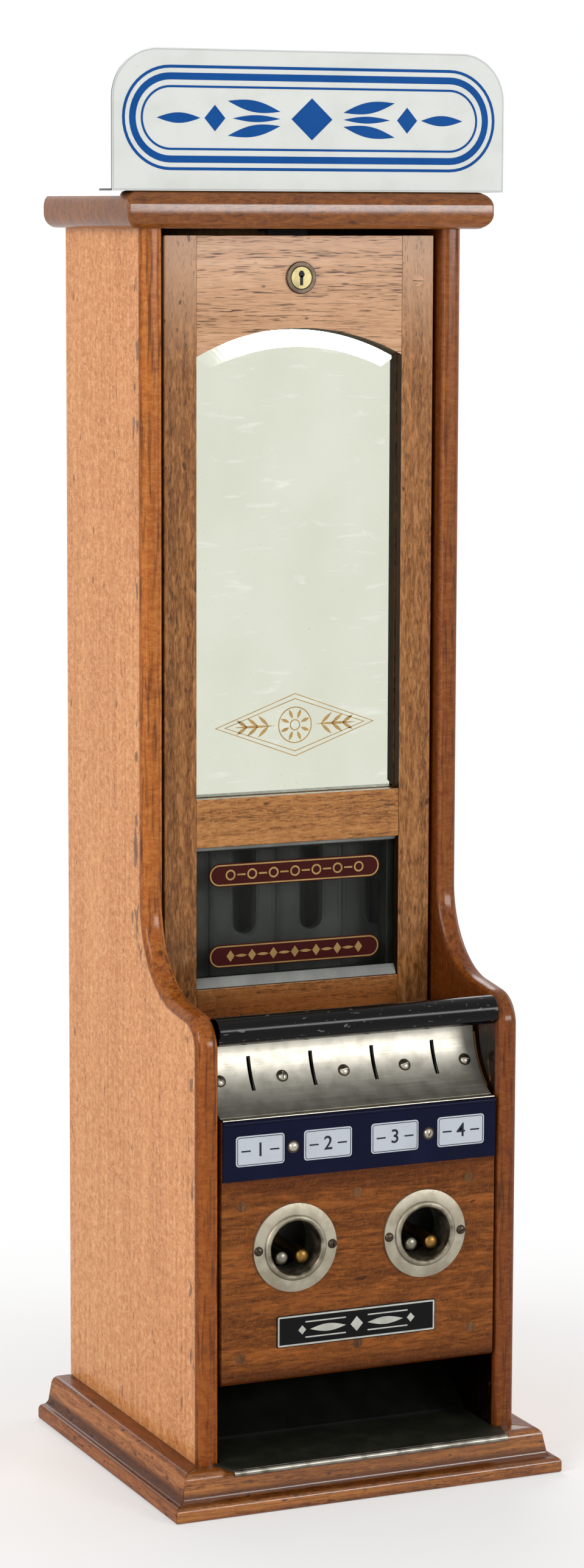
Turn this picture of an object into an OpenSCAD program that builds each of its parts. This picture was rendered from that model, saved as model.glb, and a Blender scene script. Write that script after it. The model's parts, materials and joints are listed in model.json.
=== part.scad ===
// Oak counter machine that sells wrapped bars for a small coin.
// X runs to the right, Y to the back and Z up from the counter. The modules measure Y from the front edge
// of the lower case, and in_frame() shifts them so that the origin lies under the middle of the machine.

/* [Case] */
// Distance between neighbouring bar columns, which sets the inside width of the case
column_pitch = 44; // [42:0.5:56]
// Room between an outer column and the side panel
column_room = 1; // [0.5:0.5:6]
// Thickness of the side panels
side_t = 13.5; // [11:0.5:20]
// Depth of the lower case, front edge to back
case_d = 207; // [204:1:240]
// Height of the side panels
case_h = 710; // [700:5:800]
// Thickness of the back panel
back_t = 8; // [5:0.5:10]
// Rounding of the front edges of the side panels
nose_r = 4.5; // [2:0.25:5]
// How far the upper front stands behind the lower front
upper_setback = 84; // [80:1:92]
// Radius of the hollow curve of the sides
cove_r = 52; // [44:1:58]
// Radius of the rounded shoulder of the sides
shoulder_r = 20; // [16:1:24]
// Height of the top of the shoulder
shoulder_top = 290; // [284:1:300]
// Slope between the hollow curve and the shoulder, in degrees
shoulder_slope = 7; // [4:1:12]

/* [Plinth] */
// Height of the plinth
plinth_h = 26; // [22:1:34]
// Overhang of the upper step of the plinth
step_out = 15; // [10:1:20]
// Height of the lower step of the plinth
low_step_h = 9; // [6:1:12]
// Radius of the hollow between the two steps
plinth_cove = 4; // [3:1:7]
// Rounding of the upper edge of the plinth
plinth_round = 5; // [1:0.5:6]
// How far the upper step leans in towards its top
plinth_lean = 1.5; // [0:0.5:3]
// How far the base board stands behind the front edge of the sides
base_set = 2; // [1:0.5:5]

/* [Top board] */
// Thickness of the top board
top_t = 21.5; // [18:0.5:30]
// Overhang of the top board at the front and sides
top_over = 14; // [8:1:24]
// Rounding of the edges of the top board
top_round = 8.5; // [3:0.5:9]

/* [Sign] */
// Width of the sign
sign_w = 248.8; // [200:0.2:280]
// Height of the sign
sign_h = 80.5; // [70:0.5:120]
// Thickness of the sign's sheet
sign_t = 1.2; // [0.8:0.1:2]
// Radius of the upper corners of the sign
sign_corner = 28; // [10:1:34]
// Depth of the foot of the sign
sign_foot = 20; // [14:1:40]
// How far the sign stands behind the front edge of the top board
sign_set = 5; // [3:1:30]
// Distance between the two screws of the sign
sign_screw_pitch = 190; // [120:2:196]

/* [Door] */
// Gap between the door and each side panel
door_gap = 2.5; // [1.5:0.25:4]
// How far the door stands behind the noses of the side panels
door_set = 6.3; // [4:0.1:10]
// Thickness of the door
door_t = 19; // [17:0.5:20]
// Height of the foot of the door
door_foot = 258; // [256:1:262]
// Gap between the door and the top board
door_top_gap = 3.9; // [2:0.1:6]
// Width of the stiles
stile_w = 20.5; // [16:0.5:28]
// Height of the bottom rail
bottom_rail_h = 30; // [24:1:40]
// Height of the window
window_h = 85; // [60:1:100]
// Height of the middle rail
mid_rail_h = 29; // [22:1:40]
// Height of the top rail over the apex of the arch
top_rail_h = 53.8; // [46:0.1:70]
// Rise of the arch over the mirror
arch_rise = 16.3; // [8:0.1:22]
// Width of the rebate that holds the glass
rebate_w = 6; // [4:0.5:8]
// Depth of the front lip of the rebate
rebate_lip = 6; // [5:0.1:8]
// Gap between the glass and the rebate
glass_room = 0.5; // [0.2:0.1:1]
// Thickness of the mirror
mirror_t = 4; // [3:0.1:4]
// Thickness of the window glass
window_t = 2.5; // [2:0.1:4]
// Width of the window frame inside the window opening
frame_lip = 4; // [2:0.5:8]
// Width of a placard
placard_w = 112; // [80:1:120]
// Height of a placard
placard_h = 14; // [10:0.5:18]
// Thickness of a placard
placard_t = 0.8; // [0.6:0.1:1.5]
// Distance between the placards and the upper and lower edge of the window
placard_edge = 11; // [6:0.5:16]
// Radius of the door pivots
pivot_r = 3; // [2:0.25:3.5]
// Running clearance of the door pivots
pivot_clear = 0.05; // [0.02:0.01:0.1]
// Depth of the door pivots in the side panels
pivot_in = 6; // [4:0.5:8]
// Distance from the door's face to the pivot axis
pivot_back = 4.2; // [4:0.1:6]
// Height of the pivot axis over the foot of the door
pivot_up = 8; // [6:0.5:12]

/* [Lock] */
// Height of the lock over the apex of the arch
lock_up = 29.3; // [24:0.1:34]
// Radius of the ring round the lock
lock_ring_r = 9.5; // [8:0.25:12]
// How far the ring of the lock stands proud of the door
lock_proud = 1.5; // [0.8:0.1:3]
// Radius of the barrel of the lock
lock_barrel_r = 8; // [7:0.1:8]
// Radius of the turning plug
lock_plug_r = 6.5; // [5:0.1:6.8]
// Length of the cam, from the axis to its tip
cam_l = 26; // [25.5:0.1:27.5]
// Width of the cam
cam_w = 10; // [6:0.5:12]
// Thickness of the cam
cam_t = 2; // [1.5:0.1:3]
// Gap between the door's back and the cam
cam_gap = 2.9; // [2.6:0.1:3.4]

/* [Hood and coin plate] */
// Radius of the nose of the hood
hood_r = 8.5; // [6:0.5:10]
// Height of the top of the hood
hood_top = 288; // [284:1:290]
// Thickness of the hood's sheet
hood_t = 1.5; // [1:0.1:2]
// Gap between the hood and the door
hood_gap = 1.3; // [1:0.1:2]
// Radius of the hollow of the coin plate
coin_cove_r = 42; // [40:0.5:44]
// Where the upright top of the coin plate stands
coin_plate_y = 30; // [29:0.5:32]
// Height at which the hollow of the coin plate ends
coin_plate_z = 268; // [266:0.5:269]
// Angle of the hollow of the coin plate, in degrees
coin_plate_turn = 66; // [62:1:68]
// Thickness of the coin plate
coin_plate_t = 1.5; // [1:0.1:2]
// Distance between neighbouring coin slots
coin_pitch = 39.5; // [36:0.5:40]
// Width of a coin slot
coin_slot_w = 2.4; // [2:0.1:3]
// Angle from the top of the hollow to the middle of a slot, in degrees
coin_slot_turn = 26; // [22:1:28]
// Diameter of the coin that works the machine
coin_d = 19.05; // [18:0.05:20]
// Room for the coin in the slot and the chute
coin_room = 0.95; // [0.5:0.05:1.5]
// Wall of the coin chutes
chute_wall = 1; // [0.8:0.1:1.2]
// Angle from the top of the hollow to the screws, in degrees
plate_screw_turn = 30; // [20:1:40]

/* [Lower front] */
// Thickness of the lower front panel
panel_t = 13; // [10:0.5:15]
// How far the lower front panel stands behind the edge of the sides
panel_set = 1; // [0.5:0.5:4]
// Gap between the lower front panel and each side
panel_gap = 1.4; // [0.5:0.1:3]
// Height of the lower edge of the front panel
panel_foot = 71; // [64:1:78]
// Height of the upper edge of the front panel
panel_top = 228; // [224:0.5:228]
// Rounding of the lower edge of the front panel
panel_round = 4; // [1:0.5:6]
// Height of the label strip
strip_h = 35; // [28:0.5:40]
// Thickness of the label strip
strip_t = 1.5; // [1:0.1:2]
// Distance between neighbouring labels
label_pitch = 42.9; // [36:0.1:43]
// Width of a label
label_w = 30.5; // [24:0.5:34]
// Height of a label
label_h = 18; // [12:0.5:24]
// Thickness of a label
label_t = 0.6; // [0.4:0.1:1]
// Distance between the two screws of the label strip
strip_screw_pitch = 86.8; // [60:0.2:90]
// Distance between the two finger cups
cup_pitch = 83.4; // [74:0.2:88]
// Height of the finger cups
cup_z = 150.4; // [149:0.1:153]
// Outer diameter of the flange of a cup
cup_od = 53; // [46:0.5:58]
// Diameter of the hole of a cup
cup_hole = 31.5; // [30:0.5:33]
// Thickness of the flange of a cup
cup_t = 1.6; // [1:0.1:2.5]
// Wall of the sleeve of a cup
cup_wall = 1.75; // [1:0.05:2]
// Radius of the rolled rim of a cup
cup_roll = 1.9; // [1.5:0.1:2.2]
// Distance between the two screws of a cup
cup_screw_pitch = 46.8; // [43:0.2:48]
// Width of the name plate
plate_w = 102; // [60:1:120]
// Height of the name plate
plate_h = 19; // [12:0.5:26]
// Thickness of the name plate
plate_t = 0.8; // [0.5:0.1:1.5]
// Height of the lower edge of the name plate over the foot of the panel
plate_up = 20; // [8:1:28]
// How far the name plate sits to the left of the middle
plate_left = 2; // [0:0.5:6]

/* [Screws] */
// Radius of the round screw heads
screw_head_r = 3; // [2:0.1:3]
// Height of the round screw heads
screw_head_h = 1.8; // [1:0.1:2]
// Radius of the screw shanks
screw_r = 1.4; // [1:0.1:1.6]
// Length of the screw shanks
screw_l = 9; // [6:0.5:10]
// Clearance of the screws in their holes
screw_clear = 0.05; // [0.02:0.01:0.1]

/* [Delivery] */
// Thickness of the delivery tray
tray_t = 1.2; // [0.8:0.1:2]
// How far the tray spreads in front of each side panel
tray_ear = 4.5; // [0:0.5:8]
// How far the front corners of the tray are cut off
tray_corner = 5; // [2:0.5:12]
// Radius of the rolled lip of the tray
lip_r = 1.8; // [1.2:0.1:2.2]
// Depth of the tray behind the front edge of the case
tray_d = 46; // [42:1:60]
// Height of the upper end of the delivery chute
slide_top = 130; // [118:1:134]
// Where the lower end of the delivery chute meets the tray
slide_foot = 40; // [36:1:44]
// Thickness of the delivery chute
slide_t = 1.5; // [1:0.1:2]

/* [Columns] */
// Depth of a column
column_d = 39; // [37:0.5:39.5]
// Gap between neighbouring columns
column_gap = 0.4; // [0.2:0.1:1]
// Thickness of the sheet of the columns
column_t = 1; // [0.7:0.1:1.5]
// Gap between the door's back and the columns
column_set = 11.7; // [11.2:0.1:12.5]
// Height of the top of the columns
column_top = 725; // [700:1:730]
// Height of the loading mouth at the top of a column
mouth_h = 65; // [40:1:90]
// Width of the finger slot of a column
finger_w = 15; // [10:0.5:20]
// Height of the lower end of the finger slots
finger_foot = 314; // [306:1:330]
// Height of the top of the magazine shelf
shelf_z = 153; // [152.5:0.1:154]
// Thickness of the magazine shelf
shelf_t = 3; // [2:0.1:3]
// Height of the gap that lets a bar out behind a column
bar_gap = 13; // [9:0.5:20]

/* [Rods] */
// Stroke of the push rods
rod_stroke = 30; // [24:1:30]
// Distance between the two rods of a cup
rod_pitch = 13.1; // [12:0.1:14]
// How far the rods lie below the middle of the cup
rod_drop = 7; // [5:0.1:8]
// Radius of the front part of a rod
rod_r = 4.25; // [3.5:0.05:4.5]
// Radius of the rear part of a rod
rod_tail_r = 2.8; // [2:0.05:2.9]
// Rounding of the tip of a rod
tip_round = 1.2; // [0.4:0.1:2]
// Where the tip of a rod rests
rod_tip_y = 3; // [0:0.5:6]
// Running clearance of the rods in their guides
rod_clear = 0.05; // [0.02:0.01:0.1]
// Where the front guide of the rods stands
guide_y = 45.5; // [44:0.5:46]
// Thickness of the guides of the rods
guide_t = 4; // [3:0.5:4.5]
// Gap between the front guide and the arms of the rods
arm_gap = 0.5; // [0.3:0.1:1]
// Thickness of the arms of the rods
arm_t = 5; // [3:0.5:5.5]
// Height of the arms and of the ejector noses
arm_h = 8; // [5:0.5:8]
// Width of an ejector
ejector_w = 34; // [24:0.5:36]
// Thickness of an ejector
ejector_t = 6; // [4:0.5:7]
// Gap between the ejector and what it slides in
ejector_gap = 0.3; // [0.2:0.05:0.5]
// Wire radius of the return springs
spring_wire_r = 0.6; // [0.4:0.05:0.7]
// Curls of a return spring
spring_curls = 9; // [6:1:12]
// Room between a spring and what it winds round or bears on
spring_room = 0.3; // [0.3:0.05:0.5]

/* [Cash box] */
// Height of the cash box
cash_h = 34; // [24:1:36]
// Height of the floor of the cash box
cash_z = 92; // [88:1:94]
// Wall of the cash box
cash_t = 1.5; // [1:0.1:2]
// Width of the ledges that carry the cash box
ledge_w = 7; // [5:0.5:10]
// Thickness of the coin ledge
coin_ledge_t = 2.5; // [1.5:0.1:3]

/* [Hidden] */
$fn = 64;
columns = 4;
cut = 1;
// Small gaps between fixed neighbours, and between a stop and what it stops
slip = 0.5;
chute_room = 0.2;
stop_gap = 0.3;
inner_w = columns * column_pitch + 2 * column_room;
inner_x = [-inner_w / 2, inner_w / 2];
case_w = inner_w + 2 * side_t;
case_top = plinth_h + case_h;
plinth_out = step_out + plinth_cove + low_step_h / 3;
frame_shift = (plinth_out - base_set - case_d) / 2;
back_y = case_d - back_t;
board_front = upper_setback - top_over;
board_top = case_top + top_t;

// Side panel: facets and centres of its curves, and the points where the sloping stretch meets them
nose_steps = 4;
curve_steps = 12;
shoulder_c = [shoulder_r, shoulder_top - shoulder_r];
slope_foot = shoulder_c + shoulder_r * [-sin(shoulder_slope), cos(shoulder_slope)];
cove_y = upper_setback - cove_r;
slope_head_y = cove_y + cove_r * sin(shoulder_slope);
slope_head = [slope_head_y, slope_foot[1] + (slope_head_y - slope_foot[0]) * tan(shoulder_slope)];
cove_c = [cove_y, slope_head[1] + cove_r * cos(shoulder_slope)];

// Door
door_w = inner_w - 2 * door_gap;
door_face = upper_setback + door_set;
door_back = door_face + door_t;
door_top = case_top - door_top_gap;
open_w = door_w - 2 * stile_w;
glass_y = door_face + rebate_lip;
window_foot = door_foot + bottom_rail_h;
window_top = window_foot + window_h;
mirror_foot = window_top + mid_rail_h;
arch_top = door_top - top_rail_h;
arch_spring = arch_top - arch_rise;
arch_r = (pow(open_w / 2, 2) + pow(arch_rise, 2)) / (2 * arch_rise);
arch_z = arch_top - arch_r;
glass_w = open_w + 2 * (rebate_w - glass_room);
pivot_y = door_face + pivot_back;
pivot_z = door_foot + pivot_up;
lock_z = arch_top + lock_up;
cam_y = door_back + cam_gap;
strike_y = door_back + slip;
strike_t = 1.6;
strike_w = 26;
strike_h = 10;

// Hood and coin plate
hood_c = [hood_r, hood_top - hood_r];
hood_foot = hood_top - 2 * hood_r;
hood_back = [door_face - hood_gap, door_foot - slip];
hood_reach = norm(hood_back - hood_c);
hood_turn = atan2(hood_back[1] - hood_c[1], hood_back[0] - hood_c[0]) + acos(hood_r / hood_reach);
coin_c = [coin_plate_y - coin_cove_r, coin_plate_z];
coin_back_r = coin_cove_r + coin_plate_t;
coin_slot_h = coin_d + 2 * coin_room;
slot_x = [for (i = [0 : columns - 1]) (i - (columns - 1) / 2) * coin_pitch];
column_x = [for (i = [0 : columns - 1]) (i - (columns - 1) / 2) * column_pitch];
label_x = [for (i = [0 : columns - 1]) (i - (columns - 1) / 2) * label_pitch];
plate_screw_x = [for (i = [0 : columns]) (i - columns / 2) * coin_pitch];
block_h = 44;
block_d = 30;

// Lower front
panel_back = panel_set + panel_t;
panel_w = inner_w - 2 * panel_gap;
strip_foot = panel_top - strip_h;
strip_front = panel_set - strip_t;
cup_x = [-cup_pitch / 2, cup_pitch / 2];
cup_r = cup_hole / 2;
cup_sleeve_r = cup_r + cup_wall;
cup_front = panel_set - cup_t;
sleeve_out = 6;
sleeve_end = panel_back + sleeve_out;

// Rods, ejectors and coin seat, from the front to the back
rod_z = cup_z - rod_drop;
rod_x = [for (c = cup_x, s = [-1, 1]) c + s * rod_pitch / 2];
arm_y = guide_y + guide_t + arm_gap;
seat_y = arm_y + arm_t;
ejector_y = seat_y + coin_d + coin_room;
ejector_nose_l = 7;
ejector_post_t = 4;
post_y = ejector_y + ejector_nose_l - ejector_post_t;
stroke_room = 1;
rear_guide_y = ejector_y + ejector_nose_l + rod_stroke + stroke_room;
tail_out = 3;
rod_end = rear_guide_y + guide_t + tail_out;
arm_drop = 1.4;
arm_z = rod_z - arm_h / 2 - arm_drop;
arm_top = arm_z + arm_h;
column_y = door_back + column_set;
column_back = column_y + column_d;
ejector_z = shelf_z + ejector_gap;
ejector_top = ejector_z + ejector_t;
ejector_back = 2;
ejector_end = column_y - ejector_back;
tube_lift = 1;
tube_foot = arm_top + tube_lift;
tube_y = [seat_y + chute_room, ejector_y - chute_room / 2];
runway_h = coin_slot_h + 2 * (chute_wall - chute_room);
runway_w = coin_slot_w + 2 * chute_wall + chute_room;
runway_mid = [cos(coin_slot_turn), -sin(coin_slot_turn)];
runway_end = (tube_y[0] / 2 + tube_y[1] / 2 - coin_c[0]) / runway_mid[0];
tube_top = coin_c[1] + runway_end * runway_mid[1] + runway_h / 2;
coin_ledge_z = rod_z - coin_d / 2 - 2 * chute_room;
coin_ledge_lap = 3;
cash_lap = 5;
cash_y = [seat_y - cash_lap, rear_guide_y - stroke_room];
tray_top = plinth_h + tray_t;
lip_out = 1.4;
lip_y = base_set - plinth_out + lip_r;
tray_front = lip_y + lip_out;

// Shifts a piece from the front edge of the case to the machine's own origin
module in_frame() {
    translate([0, frame_shift, 0]) children();
}

// Box between two corners, given as a range on each axis
module block(x, y, z) {
    translate([x[0], y[0], z[0]]) cube([x[1] - x[0], y[1] - y[0], z[1] - z[0]]);
}

// Extrudes a (y, z) outline along X
module along_x(x) {
    translate([x[0], 0, 0]) rotate([90, 0, 90]) linear_extrude(x[1] - x[0]) children();
}

// Extrudes an (x, z) outline along Y
module along_y(y) {
    translate([0, y[1], 0]) rotate([90, 0, 0]) linear_extrude(y[1] - y[0]) children();
}

// Round bar along Y
module bar_y(x, z, y, r) {
    translate([x, y[0], z]) rotate([-90, 0, 0]) cylinder(h = y[1] - y[0], r = r);
}

// Rectangle with chosen corner radius on all four corners
module rounded_square(size, r) {
    translate([r, 0]) square([size[0] - 2 * r, size[1]]);
    translate([0, r]) square([size[0], size[1] - 2 * r]);
    for (x = [r, size[0] - r], y = [r, size[1] - r]) translate([x, y]) circle(r);
}

// Plate with half-round ends, centred on x, standing on z
module stadium(x, z, w, h) {
    translate([x - w / 2 + h / 2, z]) square([w - h, h]);
    for (s = [-1, 1]) translate([x + s * (w - h) / 2, z + h / 2]) circle(h / 2);
}

// Round-head screw that points up, with its seat at the origin
module screw() {
    dome_r = (pow(screw_head_r, 2) + pow(screw_head_h, 2)) / (2 * screw_head_h);
    difference() {
        intersection() {
            translate([0, 0, screw_head_h - dome_r]) sphere(dome_r);
            cylinder(h = screw_head_h, r = screw_head_r);
        }
        translate([-screw_head_r, -0.4, screw_head_h - 0.8]) cube([2 * screw_head_r, 0.8, 1]);
    }
    translate([0, 0, -screw_l]) cylinder(h = screw_l, r = screw_r);
}

// Hole for the shank of a screw
module screw_hole() {
    translate([0, 0, -screw_l - screw_clear]) cylinder(h = screw_l + screw_head_h, r = screw_r + screw_clear);
}

// Places children on a flat front, facing forwards
module on_front(x, y, z) {
    translate([x, y, z]) rotate([90, 0, 0]) children();
}

// Places children on the hollow of the coin plate, facing out of it
module on_coin_plate(x) {
    lift = coin_cove_r - sqrt(pow(coin_cove_r, 2) - pow(screw_head_r, 2));
    translate([x, coin_c[0], coin_c[1]]) rotate([-plate_screw_turn, 0, 0])
        translate([0, coin_cove_r - lift, 0]) rotate([90, 0, 0]) children();
}

// Places children at the two screws of the sign
module on_sign_foot() {
    y = board_front + sign_set + sign_foot / 2;
    for (s = [-1, 1]) translate([s * sign_screw_pitch / 2, y, board_top + sign_t]) children();
}

// Places children at the screws of the label strip and the finger cups
module at_front_screws() {
    for (s = [-1, 1]) on_front(s * strip_screw_pitch / 2, strip_front, strip_foot + strip_h / 2) children();
    for (c = cup_x, s = [-1, 1]) on_front(c + s * cup_screw_pitch / 2, cup_front, cup_z) children();
}

module base_board() {
    color("#6B4423") in_frame() block([-case_w / 2, case_w / 2], [base_set, case_d], [0, plinth_h]);
}

// Moulded section of the plinth, with its overhang along x
module plinth_section() {
    low_r = low_step_h / 3;
    face_top = plinth_h - plinth_round;
    lean_x = step_out - plinth_lean;
    square([plinth_out, low_step_h - low_r]);
    square([plinth_out - low_r, low_step_h]);
    translate([plinth_out - low_r, low_step_h - low_r]) circle(low_r);
    difference() {
        square([step_out + plinth_cove, low_step_h + plinth_cove]);
        translate([step_out + plinth_cove, low_step_h + plinth_cove]) circle(plinth_cove);
    }
    polygon([[0, 0], [step_out, 0], [step_out, low_step_h + plinth_cove], [lean_x, face_top], [0, face_top]]);
    square([lean_x - plinth_round, plinth_h]);
    translate([lean_x - plinth_round, face_top]) circle(plinth_round);
}

module plinth_front() {
    half = case_w / 2;
    color("#8A5A33") in_frame() intersection() {
        along_x([-half - plinth_out, half + plinth_out])
            translate([base_set, 0]) mirror([1, 0]) plinth_section();
        linear_extrude(plinth_h) polygon([
            [-half, base_set], [half, base_set],
            [half + plinth_out, base_set - plinth_out], [-half - plinth_out, base_set - plinth_out]
        ]);
    }
}

module plinth_side() {
    half = case_w / 2;
    intersection() {
        along_y([base_set - plinth_out, case_d]) translate([half, 0]) plinth_section();
        linear_extrude(plinth_h) polygon([
            [half, case_d], [half, base_set],
            [half + plinth_out, base_set - plinth_out], [half + plinth_out, case_d]
        ]);
    }
}

module plinth_right() {
    color("#A9713F") in_frame() plinth_side();
}

module plinth_left() {
    color("#A9713F") in_frame() mirror([1, 0, 0]) plinth_side();
}

// Points of an arc, from one angle to another
function arc(c, r, from, to, steps) =
    [for (i = [0 : steps]) let (a = from + (to - from) * i / steps) c + r * [cos(a), sin(a)]];

// Outline of a side panel with its front edge drawn back by an inset, starting at the lower back corner
function side_outline(inset) = concat(
    [[case_d, plinth_h], [inset, plinth_h]],
    arc(shoulder_c, shoulder_r - inset, 180, 90 + shoulder_slope, curve_steps),
    arc(cove_c, cove_r + inset, shoulder_slope - 90, 0, curve_steps),
    [[upper_setback + inset, case_top], [case_d, case_top]]
);

// Slices through the thickness of a side panel, as [x, inset]: a round, a flat and a round
side_slices = concat(
    [for (i = [0 : nose_steps]) let (a = 90 * i / nose_steps) nose_r * [1 - cos(a), 1 - sin(a)]],
    [for (i = [0 : nose_steps]) let (a = 90 * i / nose_steps) [side_t, 0] + nose_r * [sin(a) - 1, 1 - cos(a)]]
);

// Side panel with a rounded nose, lofted from slice to slice
module side_panel() {
    outline_points = len(side_outline(0));
    last = (len(side_slices) - 1) * outline_points;
    points = [for (s = side_slices) each [for (p = side_outline(s[1])) [inner_w / 2 + s[0], p[0], p[1]]]];
    walls = [for (k = [0 : len(side_slices) - 2], i = [0 : outline_points - 1])
        let (a = k * outline_points + i, b = k * outline_points + (i + 1) % outline_points)
        [a, b, b + outline_points, a + outline_points]];
    inner_face = [for (i = [1 : outline_points - 2]) [0, i + 1, i]];
    outer_face = [for (i = [1 : outline_points - 2]) [last, last + i, last + i + 1]];
    difference() {
        polyhedron(points, concat(walls, inner_face, outer_face));
        translate([inner_w / 2 - cut, pivot_y, pivot_z]) rotate([0, 90, 0])
            cylinder(h = pivot_in + cut + chute_room, r = pivot_r + pivot_clear);
    }
}

module right_side() {
    color("#C98A55") in_frame() side_panel();
}

module left_side() {
    color("#C98A55") in_frame() mirror([1, 0, 0]) side_panel();
}

module back_panel() {
    color("#7A5230") in_frame() block(inner_x, [back_y, case_d], [plinth_h, case_top]);
}

module top_board() {
    half = case_w / 2 + top_over;
    depth = case_d - board_front;
    color("#7A4A2E") in_frame() difference() {
        intersection() {
            along_y([board_front, case_d]) translate([-half, case_top])
                rounded_square([2 * half, top_t], top_round);
            along_x([-half, half]) translate([board_front, case_top]) {
                rounded_square([depth, top_t], top_round);
                translate([depth / 2, 0]) square([depth / 2, top_t]);
            }
        }
        on_sign_foot() screw_hole();
    }
}

module lower_front_panel() {
    half = panel_w / 2;
    color("#9A6538") in_frame() difference() {
        along_x([-half, half]) translate([panel_set, panel_foot]) {
            translate([0, panel_round]) square([panel_t, panel_top - panel_foot - panel_round]);
            translate([panel_round, 0]) square([panel_t - panel_round, panel_round + cut]);
            translate([panel_round, panel_round]) circle(panel_round);
        }
        for (x = cup_x) bar_y(x, cup_z, [panel_set - cut, panel_back + cut], cup_sleeve_r + screw_clear);
        at_front_screws() screw_hole();
    }
}

// Door stops, rails behind the columns and ledges of the cash box, all fixed to the case
module inner_battens() {
    stop_w = 9;
    stop_d = 8.4;
    stop_y = [door_back + stop_gap, door_back + stop_gap + stop_d];
    stop_z = [window_foot + 12, case_top - 10];
    rail_h = 20;
    rail_d = 12;
    rail_down = 30;
    ledge_h = 8;
    color("#A5713F") in_frame() {
        for (s = [0, 1]) mirror([s, 0, 0]) {
            block([inner_w / 2 - stop_w, inner_w / 2], stop_y, stop_z);
            block([inner_w / 2 - ledge_w, inner_w / 2], cash_y, [cash_z - ledge_h, cash_z]);
        }
        for (z = [mirror_foot, column_top - rail_down])
            block(inner_x, [column_back, column_back + rail_d], [z - rail_h / 2, z + rail_h / 2]);
    }
}

// Wooden block behind the coin plate, hollowed to its back and notched for the coin chutes
module coin_block() {
    lap = 10;
    foot = panel_top - lap;
    color("#8A5A33") in_frame() difference() {
        block(inner_x, [panel_back, panel_back + block_d], [foot, foot + block_h]);
        along_x([-inner_w / 2 - cut, inner_w / 2 + cut]) translate(coin_c) circle(coin_back_r);
        for (x = slot_x) translate([x, coin_c[0], coin_c[1]]) rotate([-coin_slot_turn, 0, 0])
            block(
                [-runway_w / 2 - chute_room, runway_w / 2 + chute_room], [0, 2 * coin_cove_r],
                [-runway_h / 2 - chute_room, 2 * coin_cove_r]
            );
        for (x = plate_screw_x) on_coin_plate(x) screw_hole();
    }
}

module enamel_sign() {
    front = board_front + sign_set;
    color("#E4E6E2") in_frame() difference() {
        union() {
            along_y([front, front + sign_t]) translate([-sign_w / 2, board_top]) {
                square([sign_w, sign_h - sign_corner]);
                translate([sign_corner, 0]) square([sign_w - 2 * sign_corner, sign_h]);
                for (x = [sign_corner, sign_w - sign_corner])
                    translate([x, sign_h - sign_corner]) circle(sign_corner);
            }
            block([-sign_w / 2, sign_w / 2], [front, front + sign_foot], [board_top, board_top + sign_t]);
        }
        on_sign_foot() screw_hole();
    }
}

// Bent sheet: a rolled nose, a flat foot towards the coin plate and a slope down to the door
module coin_hood() {
    along = [cos(hood_turn), sin(hood_turn)];
    past = [cos(hood_turn - 3), sin(hood_turn - 3)];
    reach = 4 * hood_r;
    color("#101012") in_frame() along_x(inner_x) {
        intersection() {
            translate(hood_c) difference() {
                circle(hood_r);
                circle(hood_r - hood_t);
            }
            translate(hood_c) polygon([[0, 0], reach * past, reach * [-1, 1], reach * [-1, -1], [0, -reach]]);
        }
        translate([hood_c[0], hood_foot]) square([coin_plate_y - hood_c[0], hood_t]);
        polygon([
            hood_c + hood_r * along, hood_c + (hood_r - hood_t) * along,
            hood_back - hood_t * along, hood_back
        ]);
    }
}

module coin_plate() {
    side_room = 2;
    half = inner_w / 2 - side_room;
    reach = 2 * coin_cove_r;
    color("#B9B6AE") in_frame() difference() {
        along_x([-half, half]) {
            intersection() {
                translate(coin_c) difference() {
                    circle(coin_back_r);
                    circle(coin_cove_r);
                }
                translate(coin_c) polygon([
                    [0, 0], reach * [cos(coin_plate_turn), -sin(coin_plate_turn)],
                    reach * [cos(coin_plate_turn / 2), -sin(coin_plate_turn / 2)], [reach, 0]
                ]);
            }
            translate([coin_plate_y, coin_plate_z]) square([coin_plate_t, hood_foot + hood_t - coin_plate_z]);
        }
        for (x = slot_x) translate([x, coin_c[0], coin_c[1]]) rotate([-coin_slot_turn, 0, 0])
            translate([0, coin_cove_r, 0]) cube([coin_slot_w, 12, coin_slot_h], center = true);
        for (x = plate_screw_x) on_coin_plate(x) screw_hole();
    }
}

// One coin chute: a sloping runway behind the slot, and an upright tube over the coin seat
module coin_chute() {
    half = runway_w / 2;
    inner = half - chute_wall;
    difference() {
        union() {
            translate([0, coin_c[0], coin_c[1]]) rotate([-coin_slot_turn, 0, 0])
                block([-half, half], [coin_back_r + chute_room, runway_end], [-runway_h / 2, runway_h / 2]);
            block([-half, half], [tube_y[0] - chute_wall, tube_y[1] + chute_wall], [tube_foot, tube_top]);
        }
        translate([0, coin_c[0], coin_c[1]]) rotate([-coin_slot_turn, 0, 0])
            block(
                [-inner, inner], [coin_cove_r, runway_end],
                [chute_wall - runway_h / 2, runway_h / 2 - chute_wall]
            );
        block([-inner, inner], tube_y, [tube_foot - cut, tube_top - chute_wall]);
    }
}

module coin_chutes() {
    color("#8C8C86") in_frame() for (x = slot_x) translate([x, 0, 0]) coin_chute();
}

module label_strip() {
    half = panel_w / 2 - stop_gap;
    roll = 1.2;
    color("#14173A") in_frame() difference() {
        union() {
            block([-half, half], [strip_front, panel_set], [strip_foot, panel_top]);
            translate([-half, panel_set - roll, panel_top - roll]) rotate([0, 90, 0])
                cylinder(h = 2 * half, r = roll);
        }
        at_front_screws() screw_hole();
    }
}

module product_labels() {
    foot = strip_foot + (strip_h - label_h) / 2;
    color("#C6CBD2") in_frame() for (x = label_x)
        along_y([strip_front - label_t, strip_front])
            translate([x - label_w / 2, foot]) rounded_square([label_w, label_h], 2);
}

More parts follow.
